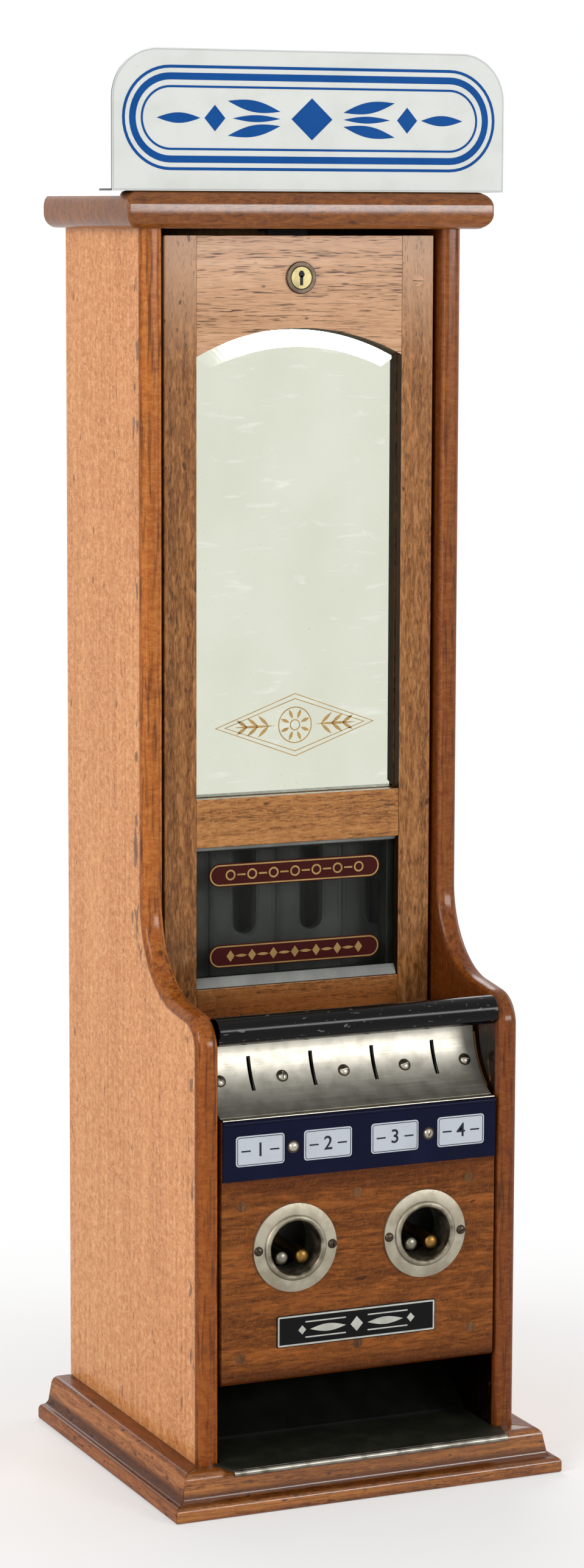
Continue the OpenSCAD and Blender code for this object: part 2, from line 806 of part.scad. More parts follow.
// Flanged cup: flat ring on the panel, rolled rim and a sleeve through the panel
module finger_cup(x) {
    difference() {
        translate([x, 0, cup_z]) rotate([-90, 0, 0]) rotate_extrude() {
            translate([cup_r, cup_front]) square([cup_od / 2 - cup_r, cup_t]);
            translate([cup_r, cup_front]) square([cup_wall, sleeve_end - cup_front]);
            intersection() {
                translate([cup_r + cup_roll, cup_front]) circle(cup_roll);
                translate([cup_r, cup_front - cup_roll]) square([2 * cup_roll, cup_roll + cup_t]);
            }
        }
        at_front_screws() screw_hole();
    }
}

module left_cup() {
    color("#9C9688") in_frame() finger_cup(cup_x[0]);
}

module right_cup() {
    color("#9C9688") in_frame() finger_cup(cup_x[1]);
}

module round_head_screws() {
    color("#A8A49A") in_frame() {
        at_front_screws() screw();
        for (x = plate_screw_x) on_coin_plate(x) screw();
        on_sign_foot() screw();
    }
}

module name_plate() {
    foot = panel_foot + plate_up;
    color("#151515") in_frame() along_y([panel_set - plate_t, panel_set])
        translate([-plate_left - plate_w / 2, foot]) rounded_square([plate_w, plate_h], 1);
}

// Tray on the base board, spread in front of the sides, with cut front corners and a rolled lip over the plinth
module delivery_tray() {
    half = inner_w / 2 - slip;
    ear = half + tray_ear;
    lip = ear - tray_corner;
    color("#3A392F") in_frame() {
        translate([0, 0, plinth_h]) linear_extrude(tray_t) polygon([
            [-half, tray_d], [half, tray_d], [half, -slip], [ear, -slip], [lip, tray_front],
            [-lip, tray_front], [-ear, -slip], [-half, -slip]
        ]);
        translate([-lip, lip_y, tray_top - lip_r]) rotate([0, 90, 0]) cylinder(h = 2 * lip, r = lip_r);
    }
}

module delivery_chute() {
    color("#4A4840") in_frame() along_x(inner_x) polygon([
        [slide_foot, tray_top], [back_y, slide_top], [back_y, slide_top + slide_t],
        [slide_foot, tray_top + slide_t]
    ]);
}

module cash_box() {
    half = inner_w / 2 - 2 * slip;
    color("#55534B") in_frame() difference() {
        block([-half, half], cash_y, [cash_z, cash_z + cash_h]);
        block(
            [cash_t - half, half - cash_t], [cash_y[0] + cash_t, cash_y[1] - cash_t],
            [cash_z + cash_t, cash_z + cash_h + cut]
        );
    }
}

module coin_ledge() {
    color("#8C8C86") in_frame() block(
        inner_x, [seat_y - coin_ledge_lap, ejector_y + coin_ledge_lap],
        [coin_ledge_z - coin_ledge_t, coin_ledge_z]
    );
}

// Cross bars that carry the rods at the front and at the back
module rod_guides() {
    front_half_h = 11;
    rear_drop = 8;
    color("#8C8C86") in_frame() difference() {
        union() {
            block(inner_x, [guide_y, guide_y + guide_t], [rod_z - front_half_h, rod_z + front_half_h]);
            block(
                inner_x, [rear_guide_y, rear_guide_y + guide_t],
                [rod_z - rear_drop, shelf_z - shelf_t]
            );
        }
        for (x = rod_x) {
            bar_y(x, rod_z, [guide_y - cut, guide_y + guide_t + cut], rod_r + rod_clear);
            bar_y(x, rod_z, [rear_guide_y - cut, rear_guide_y + guide_t + cut], rod_tail_r + rod_clear);
        }
    }
}

// Shelf under the columns, with an upright front that the ejectors pass through
module magazine_shelf() {
    lip_t = 2;
    lip_over = 12;
    lip_h = ejector_t + 2 * ejector_gap + lip_over;
    color("#8C8C86") in_frame() difference() {
        union() {
            block(inner_x, [rear_guide_y, column_back], [shelf_z - shelf_t, shelf_z]);
            block(inner_x, [rear_guide_y, rear_guide_y + lip_t], [shelf_z, shelf_z + lip_h]);
        }
        for (x = column_x) block(
            [x - ejector_w / 2 - ejector_gap, x + ejector_w / 2 + ejector_gap],
            [rear_guide_y - cut, rear_guide_y + lip_t + cut], [shelf_z, ejector_top + ejector_gap]
        );
    }
}

// Sheet column with a finger slot, a loading mouth and gaps for the ejector and the bar
module magazine(i) {
    w = column_pitch - column_gap;
    x = column_x[i];
    inside = [x - w / 2 + column_t, x + w / 2 - column_t];
    mouth = column_top - mouth_h;
    color("#3B3D3A") in_frame() difference() {
        block([x - w / 2, x + w / 2], [column_y, column_back], [shelf_z, column_top]);
        block(inside, [column_y + column_t, column_back - column_t], [shelf_z - cut, column_top + cut]);
        block(inside, [column_y - cut, column_back - column_t], [mouth, column_top + cut]);
        block(inside, [column_y - cut, column_y + column_d / 2], [shelf_z - cut, ejector_top + 2 * ejector_gap]);
        block(inside, [column_back - column_d / 2, column_back + cut], [shelf_z - cut, shelf_z + bar_gap]);
        block(
            [x - finger_w / 2, x + finger_w / 2], [column_y - cut, column_y + column_t + cut],
            [finger_foot + finger_w / 2, column_top]
        );
        bar_y(x, finger_foot + finger_w / 2, [column_y - cut, column_y + column_t + cut], finger_w / 2);
    }
}

// Rod with a rounded tip, a thinner tail for the spring and an arm that reaches across to the coin
module push_rod(i) {
    x = rod_x[i];
    past = 2;
    end = slot_x[i] + (slot_x[i] > x ? past : -past);
    side = [min(x, end), max(x, end)];
    color(i % 2 == 0 ? "#9A958C" : "#A87B3A") in_frame() {
        translate([x, rod_tip_y, rod_z]) rotate([-90, 0, 0]) rotate_extrude() {
            square([rod_r - tip_round, seat_y - rod_tip_y]);
            translate([0, tip_round]) square([rod_r, seat_y - rod_tip_y - tip_round]);
            intersection() {
                translate([rod_r - tip_round, tip_round]) circle(tip_round);
                square([rod_r, tip_round]);
            }
            square([rod_tail_r, rod_end - rod_tip_y]);
        }
        block(side, [arm_y, seat_y], [arm_z, arm_top]);
    }
}

// Points of the wire of a return spring: straight ends and an even helix between them
spring_r = rod_tail_r + spring_room + spring_wire_r;
spring_from = seat_y + spring_room;
spring_to = rear_guide_y - spring_room;
spring_lead = 2 * spring_wire_r;
rings_per_curl = 8;
wire_sides = 6;
spring_rings = spring_curls * rings_per_curl;
function spring_point(k) = [
    spring_r * cos(360 * k / rings_per_curl),
    spring_from + spring_lead + (spring_to - spring_from - 2 * spring_lead) * k / spring_rings,
    spring_r * sin(360 * k / rings_per_curl)
];
spring_path = concat(
    [[spring_r, spring_from, 0]],
    [for (k = [0 : spring_rings]) spring_point(k)],
    [[spring_r, spring_to, 0]]
);
spring_gap = min([
    for (i = [0 : len(spring_path) - 1 - rings_per_curl / 2])
        for (j = [i + rings_per_curl / 2 : len(spring_path) - 1])
            norm(spring_path[i] - spring_path[j])
]) - 2 * spring_wire_r;
echo(spring_gap = spring_gap);

// Ring of wire points round one point of the path, square to the way the path runs there
function unit(v) = v / norm(v);
function wire_ring(path, k) =
    let (
        along = unit(path[min(k + 1, len(path) - 1)] - path[max(k - 1, 0)]),
        out = unit([path[k][0], 0, path[k][2]]),
        side = unit(cross(along, out)),
        up = cross(side, along)
    )
    [for (s = [0 : wire_sides - 1])
        path[k] + spring_wire_r * (cos(360 * s / wire_sides) * up + sin(360 * s / wire_sides) * side)];

// Closed tube along a path, as triangles
module wire(path) {
    n = len(path);
    last = (n - 1) * wire_sides;
    points = [for (k = [0 : n - 1]) each wire_ring(path, k)];
    walls = [for (k = [0 : n - 2], s = [0 : wire_sides - 1])
        let (a = k * wire_sides + s, b = k * wire_sides + (s + 1) % wire_sides)
        each [[a, b, b + wire_sides], [a, b + wire_sides, a + wire_sides]]];
    first_cap = [for (s = [1 : wire_sides - 2]) [0, s + 1, s]];
    last_cap = [for (s = [1 : wire_sides - 2]) [last, last + s, last + s + 1]];
    polyhedron(points, concat(walls, first_cap, last_cap));
}

module rod_spring(i) {
    color("#777570") in_frame() translate([rod_x[i], 0, rod_z]) wire(spring_path);
}

// Flat blade over the shelf, with a post down to the nose that the coin bears on
module ejector(i) {
    nose_w = 8;
    x = column_x[i];
    nose = [slot_x[i] - nose_w / 2, slot_x[i] + nose_w / 2];
    color("#8C8C86") in_frame() {
        block([x - ejector_w / 2, x + ejector_w / 2], [post_y, ejector_end], [ejector_z, ejector_top]);
        block(nose, [post_y, post_y + ejector_post_t], [arm_z, ejector_top]);
        block(nose, [ejector_y, post_y + ejector_post_t], [arm_z, arm_top]);
    }
}

// Arched opening or pane: straight sides up to the spring of the arch
module arched(w, foot, r) {
    spring = arch_z + sqrt(pow(r, 2) - pow(w / 2, 2));
    translate([-w / 2, foot]) square([w, spring - foot]);
    intersection() {
        translate([-w / 2, spring]) square([w, arch_z + r - spring]);
        translate([0, arch_z]) circle(r, $fn = 128);
    }
}

// Rebate for the panes, cut from behind into stiles and rails
module pane_rebates() {
    w = open_w + 2 * rebate_w;
    y = [glass_y, door_back + cut];
    block([-w / 2, w / 2], y, [window_foot - rebate_w, window_top + rebate_w]);
    along_y(y) arched(w, mirror_foot - rebate_w, arch_r + rebate_w);
}

module stile() {
    difference() {
        block([door_w / 2 - stile_w, door_w / 2], [door_face, door_back], [door_foot, door_top]);
        pane_rebates();
        translate([door_w / 2 - pivot_in, pivot_y, pivot_z]) rotate([0, 90, 0])
            cylinder(h = pivot_in + cut, r = pivot_r);
    }
}

module door_right_stile() {
    color("#8F5F3C") in_frame() stile();
}

module door_left_stile() {
    color("#8F5F3C") in_frame() mirror([1, 0, 0]) stile();
}

module rail(z) {
    difference() {
        block([-open_w / 2, open_w / 2], [door_face, door_back], z);
        pane_rebates();
        along_y([door_face - cut, door_back]) arched(open_w, mirror_foot, arch_r);
    }
}

module door_top_rail() {
    color("#A87A52") in_frame() difference() {
        rail([arch_spring, door_top]);
        bar_y(0, lock_z, [door_face - cut, door_back + cut], lock_barrel_r);
    }
}

module door_mid_rail() {
    color("#A87A52") in_frame() rail([window_top, mirror_foot]);
}

module door_bottom_rail() {
    color("#A87A52") in_frame() rail([door_foot, window_foot]);
}

module mirror_pane(y, r) {
    along_y(y) arched(glass_w, mirror_foot - rebate_w + glass_room, r);
}

module bevelled_mirror() {
    color("#DDE2D4") in_frame() mirror_pane([glass_y, glass_y + mirror_t], arch_r + rebate_w - glass_room);
}

module mirror_back() {
    color("#6B4A30") in_frame() mirror_pane([glass_y + mirror_t, door_back], arch_r + rebate_w - glass_room);
}

module window_glass() {
    room = rebate_w - glass_room;
    color("#B8C4C0", 0.4) in_frame() block(
        [-glass_w / 2, glass_w / 2], [glass_y, glass_y + window_t],
        [window_foot - room, window_top + room]
    );
}

module window_frame() {
    room = rebate_w - glass_room;
    y = [glass_y + window_t, door_back];
    color("#8E918C") in_frame() difference() {
        block([-glass_w / 2, glass_w / 2], y, [window_foot - room, window_top + room]);
        block(
            [frame_lip - open_w / 2, open_w / 2 - frame_lip], [y[0] - cut, y[1] + cut],
            [window_foot + frame_lip, window_top - frame_lip]
        );
    }
}

module window_placards() {
    feet = [window_foot + placard_edge, window_top - placard_edge - placard_h];
    color("#4A1414") in_frame() for (z = feet)
        along_y([glass_y - placard_t, glass_y]) stadium(0, z, placard_w, placard_h);
}

module door_pivots() {
    length = inner_w / 2 + pivot_in - door_w / 2 + pivot_in;
    color("#8C8C86") in_frame() for (s = [0, 1]) mirror([s, 0, 0])
        translate([door_w / 2 - pivot_in, pivot_y, pivot_z]) rotate([0, 90, 0]) cylinder(h = length, r = pivot_r);
}

module lock_body() {
    color("#3A322A") in_frame() difference() {
        union() {
            bar_y(0, lock_z, [door_face - lock_proud, door_face], lock_ring_r);
            bar_y(0, lock_z, [door_face, cam_y - stop_gap], lock_barrel_r);
        }
        bar_y(0, lock_z, [door_face - lock_proud - cut, cam_y + cut], lock_plug_r + pivot_clear);
    }
}

module lock_plug() {
    key_w = 1.8;
    key_h = 8;
    key_d = 6;
    front = door_face - lock_proud;
    color("#B08D4A") in_frame() difference() {
        bar_y(0, lock_z, [front, cam_y], lock_plug_r);
        block([-key_w / 2, key_w / 2], [front - cut, front + key_d], [lock_z - key_h / 2, lock_z + key_h / 2]);
    }
}

module lock_cam() {
    color("#B08D4A") in_frame() {
        bar_y(0, lock_z, [cam_y, cam_y + cam_t], cam_w / 2);
        block([0, cam_l], [cam_y, cam_y + cam_t], [lock_z - cam_w / 2, lock_z + cam_w / 2]);
    }
}

// Angle plate under the top board that the raised cam catches behind
module lock_strike() {
    foot_d = 14;
    color("#8C8C86") in_frame() {
        block([-strike_w / 2, strike_w / 2], [strike_y, strike_y + strike_t], [case_top - strike_h, case_top]);
        block([-strike_w / 2, strike_w / 2], [strike_y, strike_y + foot_d], [case_top - strike_t, case_top]);
    }
}

base_board();
plinth_front();
plinth_left();
plinth_right();
left_side();
right_side();
back_panel();
top_board();
lower_front_panel();
inner_battens();
coin_block();
enamel_sign();
coin_hood();
coin_plate();
coin_chutes();
label_strip();
product_labels();
left_cup();
right_cup();
round_head_screws();
name_plate();
delivery_tray();
delivery_chute();
cash_box();
coin_ledge();
rod_guides();
magazine_shelf();
magazine(0);  // magazine_1
magazine(1);  // magazine_2
magazine(2);  // magazine_3
magazine(3);  // magazine_4
push_rod(0);  // push_rod_1
push_rod(1);  // push_rod_2
push_rod(2);  // push_rod_3
push_rod(3);  // push_rod_4
rod_spring(0);  // rod_spring_1
rod_spring(1);  // rod_spring_2
rod_spring(2);  // rod_spring_3
rod_spring(3);  // rod_spring_4
ejector(0);  // ejector_1
ejector(1);  // ejector_2
ejector(2);  // ejector_3
ejector(3);  // ejector_4
door_left_stile();
door_right_stile();
door_top_rail();
door_mid_rail();
door_bottom_rail();
bevelled_mirror();
mirror_back();
window_glass();
window_frame();
window_placards();
door_pivots();
lock_body();
lock_plug();
lock_cam();
lock_strike();
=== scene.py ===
import json
import math
from contextlib import contextmanager

import bmesh
import bpy
from mathutils import Matrix, Vector

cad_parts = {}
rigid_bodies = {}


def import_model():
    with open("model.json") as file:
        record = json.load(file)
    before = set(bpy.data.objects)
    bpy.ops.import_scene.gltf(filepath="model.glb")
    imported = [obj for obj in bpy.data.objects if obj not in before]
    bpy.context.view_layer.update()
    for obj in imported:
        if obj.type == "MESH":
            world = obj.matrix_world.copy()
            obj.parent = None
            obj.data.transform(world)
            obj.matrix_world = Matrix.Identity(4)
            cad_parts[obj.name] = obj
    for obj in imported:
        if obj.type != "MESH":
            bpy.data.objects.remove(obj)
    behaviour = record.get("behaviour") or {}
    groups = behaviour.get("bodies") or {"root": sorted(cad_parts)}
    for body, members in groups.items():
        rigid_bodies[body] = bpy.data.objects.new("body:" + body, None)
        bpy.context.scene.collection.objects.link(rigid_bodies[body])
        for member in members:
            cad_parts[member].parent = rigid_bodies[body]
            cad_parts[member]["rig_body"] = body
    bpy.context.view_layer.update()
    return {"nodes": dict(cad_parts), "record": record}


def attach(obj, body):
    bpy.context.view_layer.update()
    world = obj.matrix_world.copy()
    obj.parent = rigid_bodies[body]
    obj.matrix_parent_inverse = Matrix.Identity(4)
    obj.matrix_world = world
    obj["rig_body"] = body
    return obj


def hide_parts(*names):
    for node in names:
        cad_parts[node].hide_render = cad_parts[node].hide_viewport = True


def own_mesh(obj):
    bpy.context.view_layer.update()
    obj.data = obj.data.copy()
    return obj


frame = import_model()

MM = 0.001
NODES = frame["nodes"]
SLOTS = {part["node"]: part["material_slot"] for part in frame["record"]["subparts"]}

# Sizes in millimetres as in the CAD source: x from the middle, y back from the case's lower front edge and z
# from the floor
FRAME_SHIFT = 93.5
INNER_HALF, SIDE_THICK = 89, 13.5
CASE_DEPTH, BACK_FACE, UPPER_SETBACK = 207, 206.3, 84
PLINTH_TOP, CASE_TOP, BOARD_TOP = 26, 736, 757.5
DOOR_FACE, GLASS_Y, GLASS_HALF = 90.3, 96.3, 71.5
ARCH_CENTRE, ARCH_RADIUS, OPENING_HALF = 536.53, 141.77, 66
PANEL_FACE, STRIP_FACE = 1, -0.5
LOCK_Z = 707.6
LABEL_X, LABEL_Z = (-64.35, -21.45, 21.45, 64.35), 210.5
CUP_X, CUP_Z, CUP_FACE = (-41.7, 41.7), 150.4, -0.6
ROD_X, ROD_Z = (-48.25, -35.15, 35.15, 48.25), 143.4
COLUMN_X = (-66, -22, 22, 66)
COIN_CENTRE, COIN_RADIUS, COIN_PITCH = (-12, 268), 42, 39.5
PLATE_HALF, PLATE_SCREW_X = 87, [(i - 2) * COIN_PITCH for i in range(5)]
SIGN_FACE, SIGN_TOP, SIGN_MIDDLE = 75, 838, 798.8
# Angle in degrees from which an edge counts as sharp
SHARP = 38


def to_frame(x, y, z):
    """Point of the frame in metres."""
    return x * MM, (y - FRAME_SHIFT) * MM, z * MM


def in_mm(point):
    """Point of the frame in the millimetres of the CAD source."""
    x, y, z = point / MM
    return x, y + FRAME_SHIFT, z


# Nodes

def srgb(code):
    """Linear colour of an sRGB hex value."""
    parts = (int(code[i:i + 2], 16) / 255 for i in (1, 3, 5))
    return tuple(c / 12.92 if c <= 0.04045 else ((c + 0.055) / 1.055) ** 2.4 for c in parts) + (1,)


def add(tree, kind, inputs=None, stops=(), **settings):
    """Adds one node with its settings and colour stops; an input takes a value, a socket, a node or a list of
    nodes that all feed it."""
    node = tree.nodes.new(kind)
    for key, value in settings.items():
        setattr(node, key, value)
    for key, value in (inputs or {}).items():
        socket = node.inputs[key] if isinstance(key, int) else next(
            s for s in node.inputs if s.enabled and s.name == key)
        for source in value if isinstance(value, list) else [value]:
            if isinstance(source, bpy.types.Node):
                source = next(s for s in source.outputs if s.enabled)
            if isinstance(source, bpy.types.NodeSocket):
                tree.links.new(source, socket)
            else:
                socket.default_value = source
    if stops:
        elements = node.color_ramp.elements
        elements.remove(elements[1])
        elements[0].position, elements[0].color = stops[0][0], srgb(stops[0][1])
        for place, colour in stops[1:]:
            elements.new(place).color = srgb(colour)
    return node


# Materials

def blank(name):
    """New material without a surface, its tree and the place on the object."""
    material = bpy.data.materials.new(name)
    material.use_nodes = True
    tree = material.node_tree
    tree.nodes.clear()
    return material, tree, add(tree, "ShaderNodeTexCoord").outputs["Object"]


def per_mm(*sizes):
    """Scale at which a feature of the given sizes in millimetres measures one."""
    return tuple(1 / (size * MM) for size in sizes)


def grain_turn(across, along):
    """Turn that brings a board's width to X, its face to Y and its fibres to Z."""
    axes = {"x": Vector((1, 0, 0)), "y": Vector((0, 1, 0)), "z": Vector((0, 0, 1))}
    wide, fibre = axes[across], axes[along]
    return Matrix((wide, fibre.cross(wide), fibre)).to_euler()


def oak(name, tones, across, along, seed, fleck=0.3, pore=0.6, pore_length=5, figure=(1.3, 9, 0.45),
        nose_wear_and_light=None, painted_sheen=None, shade_and_dirt=None, varnish=(0.3, 0.14), bands=0.5, knocked=0.72):
    """Varnished oak: dark open pores in rows along the fibres, and on quarter-sawn faces pale ray flecks
    across them, under a clear gloss. The tones run from dark to light wood, then ray fleck, then pore.
    'figure' is the width, the length and the share of the short wavy strokes in its tone, 'bands' is the
    share of broad bands, 'knocked' is the level of the noise from which dents show, and 'varnish' is the
    weight and the roughness of the gloss. 'nose_wear_and_light' holds the tints over the attribute 'edge'
    at the foot and at the head of a side panel, which paint shade onto its nose and on the left a highlight
    line, and the painted shade by height on its inner face; it also adds streaks and chips along the nose.
    'painted_sheen' paints a pale sheen of lamp light onto the wood above a height, and 'shade_and_dirt'
    paints shade onto it by height."""
    material, tree, here = blank(name)
    dark, middle, light, ray_tone, pore_tone = tones
    stroke_width, stroke_length, stroke_share = figure
    varnish_weight, varnish_rough = varnish
    height = add(tree, "ShaderNodeSeparateXYZ", {"Vector": here}).outputs["Z"]
    board = add(tree, "ShaderNodeMapping", {
        "Vector": here, "Rotation": grain_turn(across, along), "Location": (seed, 0.37 * seed, 0.71 * seed)})
    wide = add(tree, "ShaderNodeMapping", {"Vector": board, "Scale": per_mm(40, 40, 260)})
    broad = add(tree, "ShaderNodeTexNoise", {"Vector": wide, "Scale": 1, "Detail": 2})
    yearly = add(tree, "ShaderNodeMapping", {"Vector": board, "Scale": per_mm(3.6, 18, 150)})
    rings = add(tree, "ShaderNodeTexNoise", {"Vector": yearly, "Scale": 1, "Detail": 4, "Distortion": 0.2})
    waves = add(tree, "ShaderNodeMapping", {
        "Vector": board, "Scale": per_mm(stroke_width, 6, stroke_length)})
    strokes = add(tree, "ShaderNodeTexNoise", {"Vector": waves, "Scale": 1, "Detail": 3, "Distortion": 0.8})
    # Real pores are 0.3 mm wide; they are drawn 0.6 mm wide so that they show
    vessels = add(tree, "ShaderNodeMapping", {"Vector": board, "Scale": per_mm(0.6, 1, pore_length)})
    dashes = add(tree, "ShaderNodeTexNoise", {"Vector": vessels, "Scale": 1, "Detail": 1, "Distortion": 0.3})
    slant = add(tree, "ShaderNodeMapping", {"Vector": board, "Rotation": (0, math.radians(14), 0)})
    slant = add(tree, "ShaderNodeMapping", {"Vector": slant, "Scale": per_mm(3.4, 8, 1.7)})
    rays = add(tree, "ShaderNodeTexNoise", {"Vector": slant, "Scale": 1, "Detail": 2, "Distortion": 1.4})
    blows = add(tree, "ShaderNodeMapping", {"Vector": board, "Scale": per_mm(5, 5, 12)})
    dents = add(tree, "ShaderNodeTexNoise", {"Vector": blows, "Scale": 1, "Detail": 1})

    tone = add(tree, "ShaderNodeMix", {"Factor": bands, "A": rings, "B": broad}, data_type="FLOAT")
    tone = add(tree, "ShaderNodeMix", {"Factor": stroke_share, "A": tone, "B": strokes}, data_type="FLOAT")
    body = add(tree, "ShaderNodeValToRGB", {"Fac": tone}, ((0.36, dark), (0.5, middle), (0.64, light)))
    ray_mask = add(tree, "ShaderNodeMapRange", {
        "Value": rays, "From Min": 0.5, "From Max": 0.64, "To Max": fleck})
    colour = add(tree, "ShaderNodeMix", {
        "Factor": ray_mask, "A": body, "B": srgb(ray_tone)}, data_type="RGBA")
    rows = add(tree, "ShaderNodeMapRange", {
        "Value": rings, "From Min": 0.56, "From Max": 0.46, "To Min": 0.25})
    pits = add(tree, "ShaderNodeMapRange", {
        "Value": dashes, "From Min": 0.54, "From Max": 0.64, "To Max": pore})
    pits = add(tree, "ShaderNodeMath", {0: pits, 1: rows}, operation="MULTIPLY")
    knocks = add(tree, "ShaderNodeMapRange", {
        "Value": dents, "From Min": knocked, "From Max": knocked + 0.05, "To Max": 0.75})
    marks = add(tree, "ShaderNodeMath", {0: pits, 1: knocks}, operation="MAXIMUM")
    if nose_wear_and_light:
        foot_tints, head_tints, inner_painted_shade = nose_wear_and_light
        edge = add(tree, "ShaderNodeAttribute", attribute_name="edge").outputs["Fac"]
        # Tints: painted shade where the nose rounds and on the inner face, and a painted highlight on the
        # left nose
        low = add(tree, "ShaderNodeValToRGB", {"Fac": edge}, foot_tints)
        high = add(tree, "ShaderNodeValToRGB", {"Fac": edge}, head_tints)
        rise = add(tree, "ShaderNodeMapRange", {"Value": height, "From Min": 0.25, "From Max": 0.36})
        tint = add(tree, "ShaderNodeMix", {"Factor": rise, "A": low, "B": high}, data_type="RGBA")
        colour = add(tree, "ShaderNodeMix", {"Factor": 1, "A": colour, "B": tint}, data_type="RGBA",
                     blend_type="MULTIPLY")
        # Dark streaks of old varnish along the rounded edges
        drips = add(tree, "ShaderNodeMapping", {"Vector": board, "Scale": per_mm(2.4, 2.4, 34)})
        varnish_runs = add(tree, "ShaderNodeTexNoise", {
            "Vector": drips, "Scale": 1, "Detail": 3, "Distortion": 0.6})
        streaks = add(tree, "ShaderNodeMapRange", {
            "Value": varnish_runs, "From Min": 0.5, "From Max": 0.7, "To Max": 0.75})
        rounded_part = add(tree, "ShaderNodeValToRGB", {"Fac": edge}, (
            (0.2, "#000000"), (0.35, "#FFFFFF"), (0.85, "#FFFFFF"), (0.95, "#9A9A9A")))
        streaks = add(tree, "ShaderNodeMath", {0: streaks, 1: rounded_part}, operation="MULTIPLY")
        colour = add(tree, "ShaderNodeMix", {
            "Factor": streaks, "A": colour, "B": srgb("#3C1C0A")}, data_type="RGBA")
        # Chips in the flat margin beside them
        margin = add(tree, "ShaderNodeValToRGB", {"Fac": edge}, (
            (0, "#000000"), (0.05, "#FFFFFF"), (0.22, "#FFFFFF"), (0.32, "#000000")))
        loose = add(tree, "ShaderNodeMapRange", {
            "Value": dents, "From Min": 0.6, "From Max": 0.66, "To Max": 0.7})
        chips = add(tree, "ShaderNodeMath", {0: loose, 1: margin}, operation="MULTIPLY")
        colour = add(tree, "ShaderNodeMix", {
            "Factor": chips, "A": colour, "B": srgb("#5C4030")}, data_type="RGBA")
        # Painted shade on the inner face by height: black in the delivery opening and, on the right, beside
        # the coin plate
        inner = add(tree, "ShaderNodeMapRange", {"Value": edge, "From Min": 0.85, "From Max": 0.99})
        share = add(tree, "ShaderNodeMapRange", {"Value": height, "From Max": 0.3})
        inner_shade_tint = add(tree, "ShaderNodeValToRGB", {"Fac": share}, inner_painted_shade)
        colour = add(tree, "ShaderNodeMix", {"Factor": inner, "A": colour, "B": inner_shade_tint}, data_type="RGBA",
                     blend_type="MULTIPLY")
    colour = add(tree, "ShaderNodeMix", {
        "Factor": marks, "A": colour, "B": srgb(pore_tone)}, data_type="RGBA")
    if painted_sheen:
        # Painted sheen: a pale reflection of lamp light painted into the colour above a height
        low, high, sheen_tone = painted_sheen
        share = add(tree, "ShaderNodeMapRange", {
            "Value": height, "From Min": low * MM, "From Max": high * MM, "To Max": 0.8})
        pale = add(tree, "ShaderNodeMix", {"Factor": marks, "A": srgb(sheen_tone), "B": srgb(pore_tone)},
                   data_type="RGBA")
        colour = add(tree, "ShaderNodeMix", {"Factor": share, "A": colour, "B": pale}, data_type="RGBA")
    if shade_and_dirt:
        # Painted shade by height, broken up by the wavy strokes
        low, high, stops = shade_and_dirt
        share = add(tree, "ShaderNodeMapRange", {
            "Value": height, "From Min": low * MM, "From Max": high * MM})
        grey = add(tree, "ShaderNodeValToRGB", {"Fac": share}, stops)
        uneven = add(tree, "ShaderNodeMapRange", {
            "Value": strokes, "From Min": 0.3, "From Max": 0.5, "To Min": 0.55})
        colour = add(tree, "ShaderNodeMix", {"Factor": uneven, "A": colour, "B": grey}, data_type="RGBA",
                     blend_type="MULTIPLY")
    dull = 0.3 if varnish_weight else 0.75
    gloss = add(tree, "ShaderNodeMapRange", {"Value": rings, "To Min": dull, "To Max": dull + 0.2})
    relief = add(tree, "ShaderNodeMath", {0: rings, 1: marks}, operation="SUBTRACT")
    bump = add(tree, "ShaderNodeBump", {"Height": relief, "Strength": 0.2, "Distance": 0.25 * MM})
    wood = add(tree, "ShaderNodeBsdfPrincipled", {
        "Base Color": colour, "Roughness": gloss, "Normal": bump, "IOR": 1.5, "Specular IOR Level": 0.05,
        "Coat Weight": varnish_weight, "Coat Roughness": varnish_rough})
    add(tree, "ShaderNodeOutputMaterial", {"Surface": wood})
    return material


